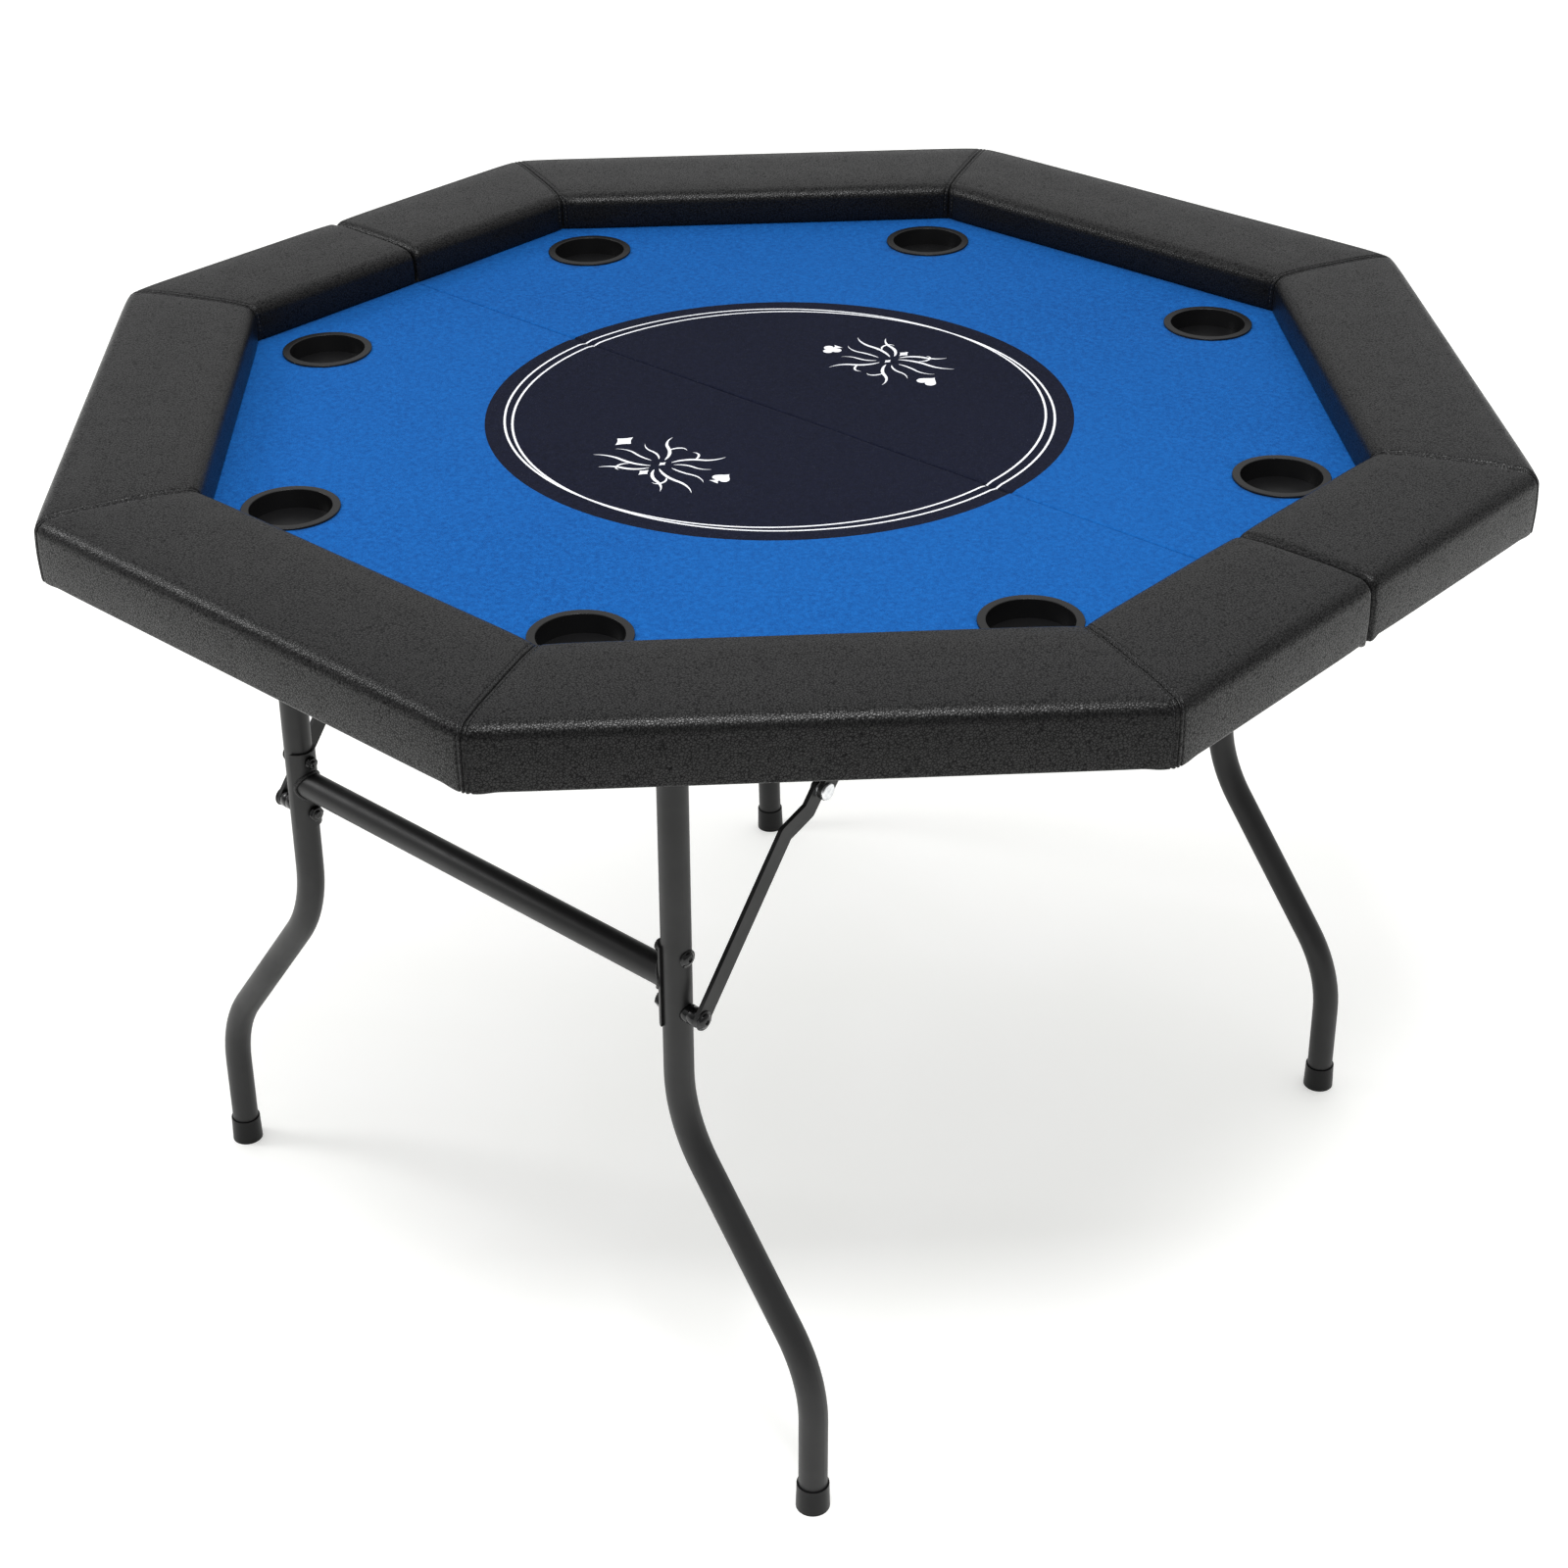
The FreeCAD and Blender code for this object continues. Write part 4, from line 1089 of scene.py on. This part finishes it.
def build_bolts(half, spin):
    """Bolts of one leg frame, on each leg a short one and the longer brace bolt."""
    bolts_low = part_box("leg_bolts_front")[0]
    tube = (PIVOT_HIGH.z - PIVOT_LOW.z) / 2
    link_low, link_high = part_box("brace_lower_front_right")
    saddle_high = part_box("saddle_plates_front")[1]
    upright = saddle_high.x + SADDLE_WRAP
    slope = math.tan(math.radians(LEG_SPLAY))
    parts = []
    for side in (-1, 1):
        out, inward = (side, 0, 0), (-side, 0, 0)
        for z, sizes in ((BOLT_Z, SHORT_BOLT), (bolts_low.z + CAD_SPACER_RADIUS, BRACE_BOLT)):
            bolt, nut, head, rise = sizes
            y = PIVOT_Y - (PIVOT_Z - z) * slope
            inner = side * (upright - tube - SADDLE_THICKNESS)
            parts.append(hex_nut((inner, y, z), inward, nut, NUT_HEIGHT, bolt))
            reach = upright + tube - HEAD_SUNK
            if sizes == BRACE_BOLT:
                reach, start = link_high.x, upright + tube - SPACER_SUNK
                parts.append(spacer((side * start, y, z), out, SPACER_RADIUS, link_low.x - start))
            parts.append(dome_head((side * reach, y, z), out, head, rise))
    piece = add_piece("bolt_hardware_" + half, parts, spin, SLOT_MATERIALS["black_fasteners"],
                      "leg_frame_" + half)
    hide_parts("leg_bolts_" + half)


def weld_bead(path, size):
    """Closed rippled bead along a loop of points."""
    vertices = []
    sides, count = 8, len(path)
    middle = sum(path, Vector()) / count
    for i, centre in enumerate(path):
        ahead = (path[(i + 1) % count] - path[i - 1]).normalized()
        away = centre - middle
        away = (away - ahead * away.dot(ahead)).normalized()
        over = ahead.cross(away)
        radius = size * (1 + 0.16 * math.sin(9.0 * i / 2.2) + 0.07 * math.sin(3.1 * i))
        for j in range(sides):
            a = 2 * math.pi * j / sides
            vertices.append(centre + radius * (math.cos(a) * away + math.sin(a) * over))
    return vertices, strip_faces(count, sides, looped=True)


# ---------------- studio

def build_floor():
    mesh = bpy.data.meshes.new("studio_floor")
    reach, cuts = 14.0, 28
    work = bmesh.new()
    bmesh.ops.create_grid(work, x_segments=cuts, y_segments=cuts, size=reach)
    work.to_mesh(mesh)
    work.free()
    mesh.materials.append(floor_material())
    floor = linked("studio_floor", mesh)


def build_world():
    """Soft white surroundings, darker on the viewer's side, white to the camera."""
    world = bpy.data.worlds.new("studio")
    bpy.context.scene.world = world
    world.use_nodes = True
    tree = world.node_tree
    tree.nodes.clear()
    direction = node(tree, "TexCoord").outputs["Generated"]
    toward = node(tree, "VectorMath", {0: direction, 1: (0.70, -0.68, 0.10)}, operation="DOT_PRODUCT")
    upward = node(tree, "VectorMath", {0: direction, 1: (0.0, 0.0, 1.0)}, operation="DOT_PRODUCT")
    side = remap(tree, toward.outputs["Value"], -0.3, 0.8, 1.0, 0.52)
    strength = maths(tree, "MULTIPLY", side, remap(tree, upward.outputs["Value"], 0.40, 1.0, 0.58, 1.6))
    light = node(tree, "Background", {"Color": (1.0, 1.0, 1.0, 1.0), "Strength": strength})
    seen = node(tree, "Background", {"Color": (1.0, 1.0, 1.0, 1.0), "Strength": 1.0})
    ray = node(tree, "LightPath")
    mixed = node(tree, "MixShader", {0: ray.outputs["Is Camera Ray"]})
    tree.links.new(light.outputs[0], mixed.inputs[1])
    tree.links.new(seen.outputs[0], mixed.inputs[2])
    output = node(tree, "OutputWorld")
    tree.links.new(mixed.outputs[0], output.inputs[0])


def add_area_light(name, place, target, size, power):
    data = bpy.data.lights.new(name, "AREA")
    data.shape = "RECTANGLE"
    data.size, data.size_y = size
    data.energy = power
    lamp = linked(name, data)
    lamp.location = place
    lamp.rotation_mode = "QUATERNION"
    lamp.rotation_quaternion = (Vector(target) - Vector(place)).to_track_quat("-Z", "Y")


def build_lights():
    add_area_light("overhead_softbox", (1.15, -1.2, 3.4), (0, 0, 0.8), (0.85, 0.60), 64)
    add_area_light("left_softbox", (-2.6, -1.8, 2.7), (0, 0, 0.6), (0.9, 1.1), 34)


def build_camera():
    azimuth, elevation = math.radians(CAMERA_AZIMUTH), math.radians(CAMERA_ELEVATION)
    roll = math.radians(CAMERA_ROLL)
    back = Vector((math.sin(azimuth) * math.cos(elevation),
                   -math.cos(azimuth) * math.cos(elevation), math.sin(elevation)))
    level = Vector((math.cos(azimuth), math.sin(azimuth), 0))
    upright = back.cross(level)
    right = math.cos(roll) * level + math.sin(roll) * upright
    up = -math.sin(roll) * level + math.cos(roll) * upright
    data = bpy.data.cameras.new("camera")
    data.lens, data.sensor_width = CAMERA_LENS, CAMERA_SENSOR
    data.clip_end = 100
    camera = linked("camera", data)
    turn = Matrix((right, up, back)).transposed().to_4x4()
    camera.matrix_world = Matrix.Translation(CAMERA_PLACE) @ turn
    bpy.context.scene.camera = camera


# ---------------- build

build_camera()
build_world()
build_lights()
build_floor()
paint_cad_nodes()
for half, spin in HALVES:
    build_rail(half, spin)
    build_stitching(half, spin)
    build_end_welts(half, spin)
    build_staples(half, spin)
    build_felt(half, spin)
    build_underlay(half, spin)
    build_welds(half, spin)
    build_bolts(half, spin)
bpy.context.scene.view_settings.view_transform = "Standard"
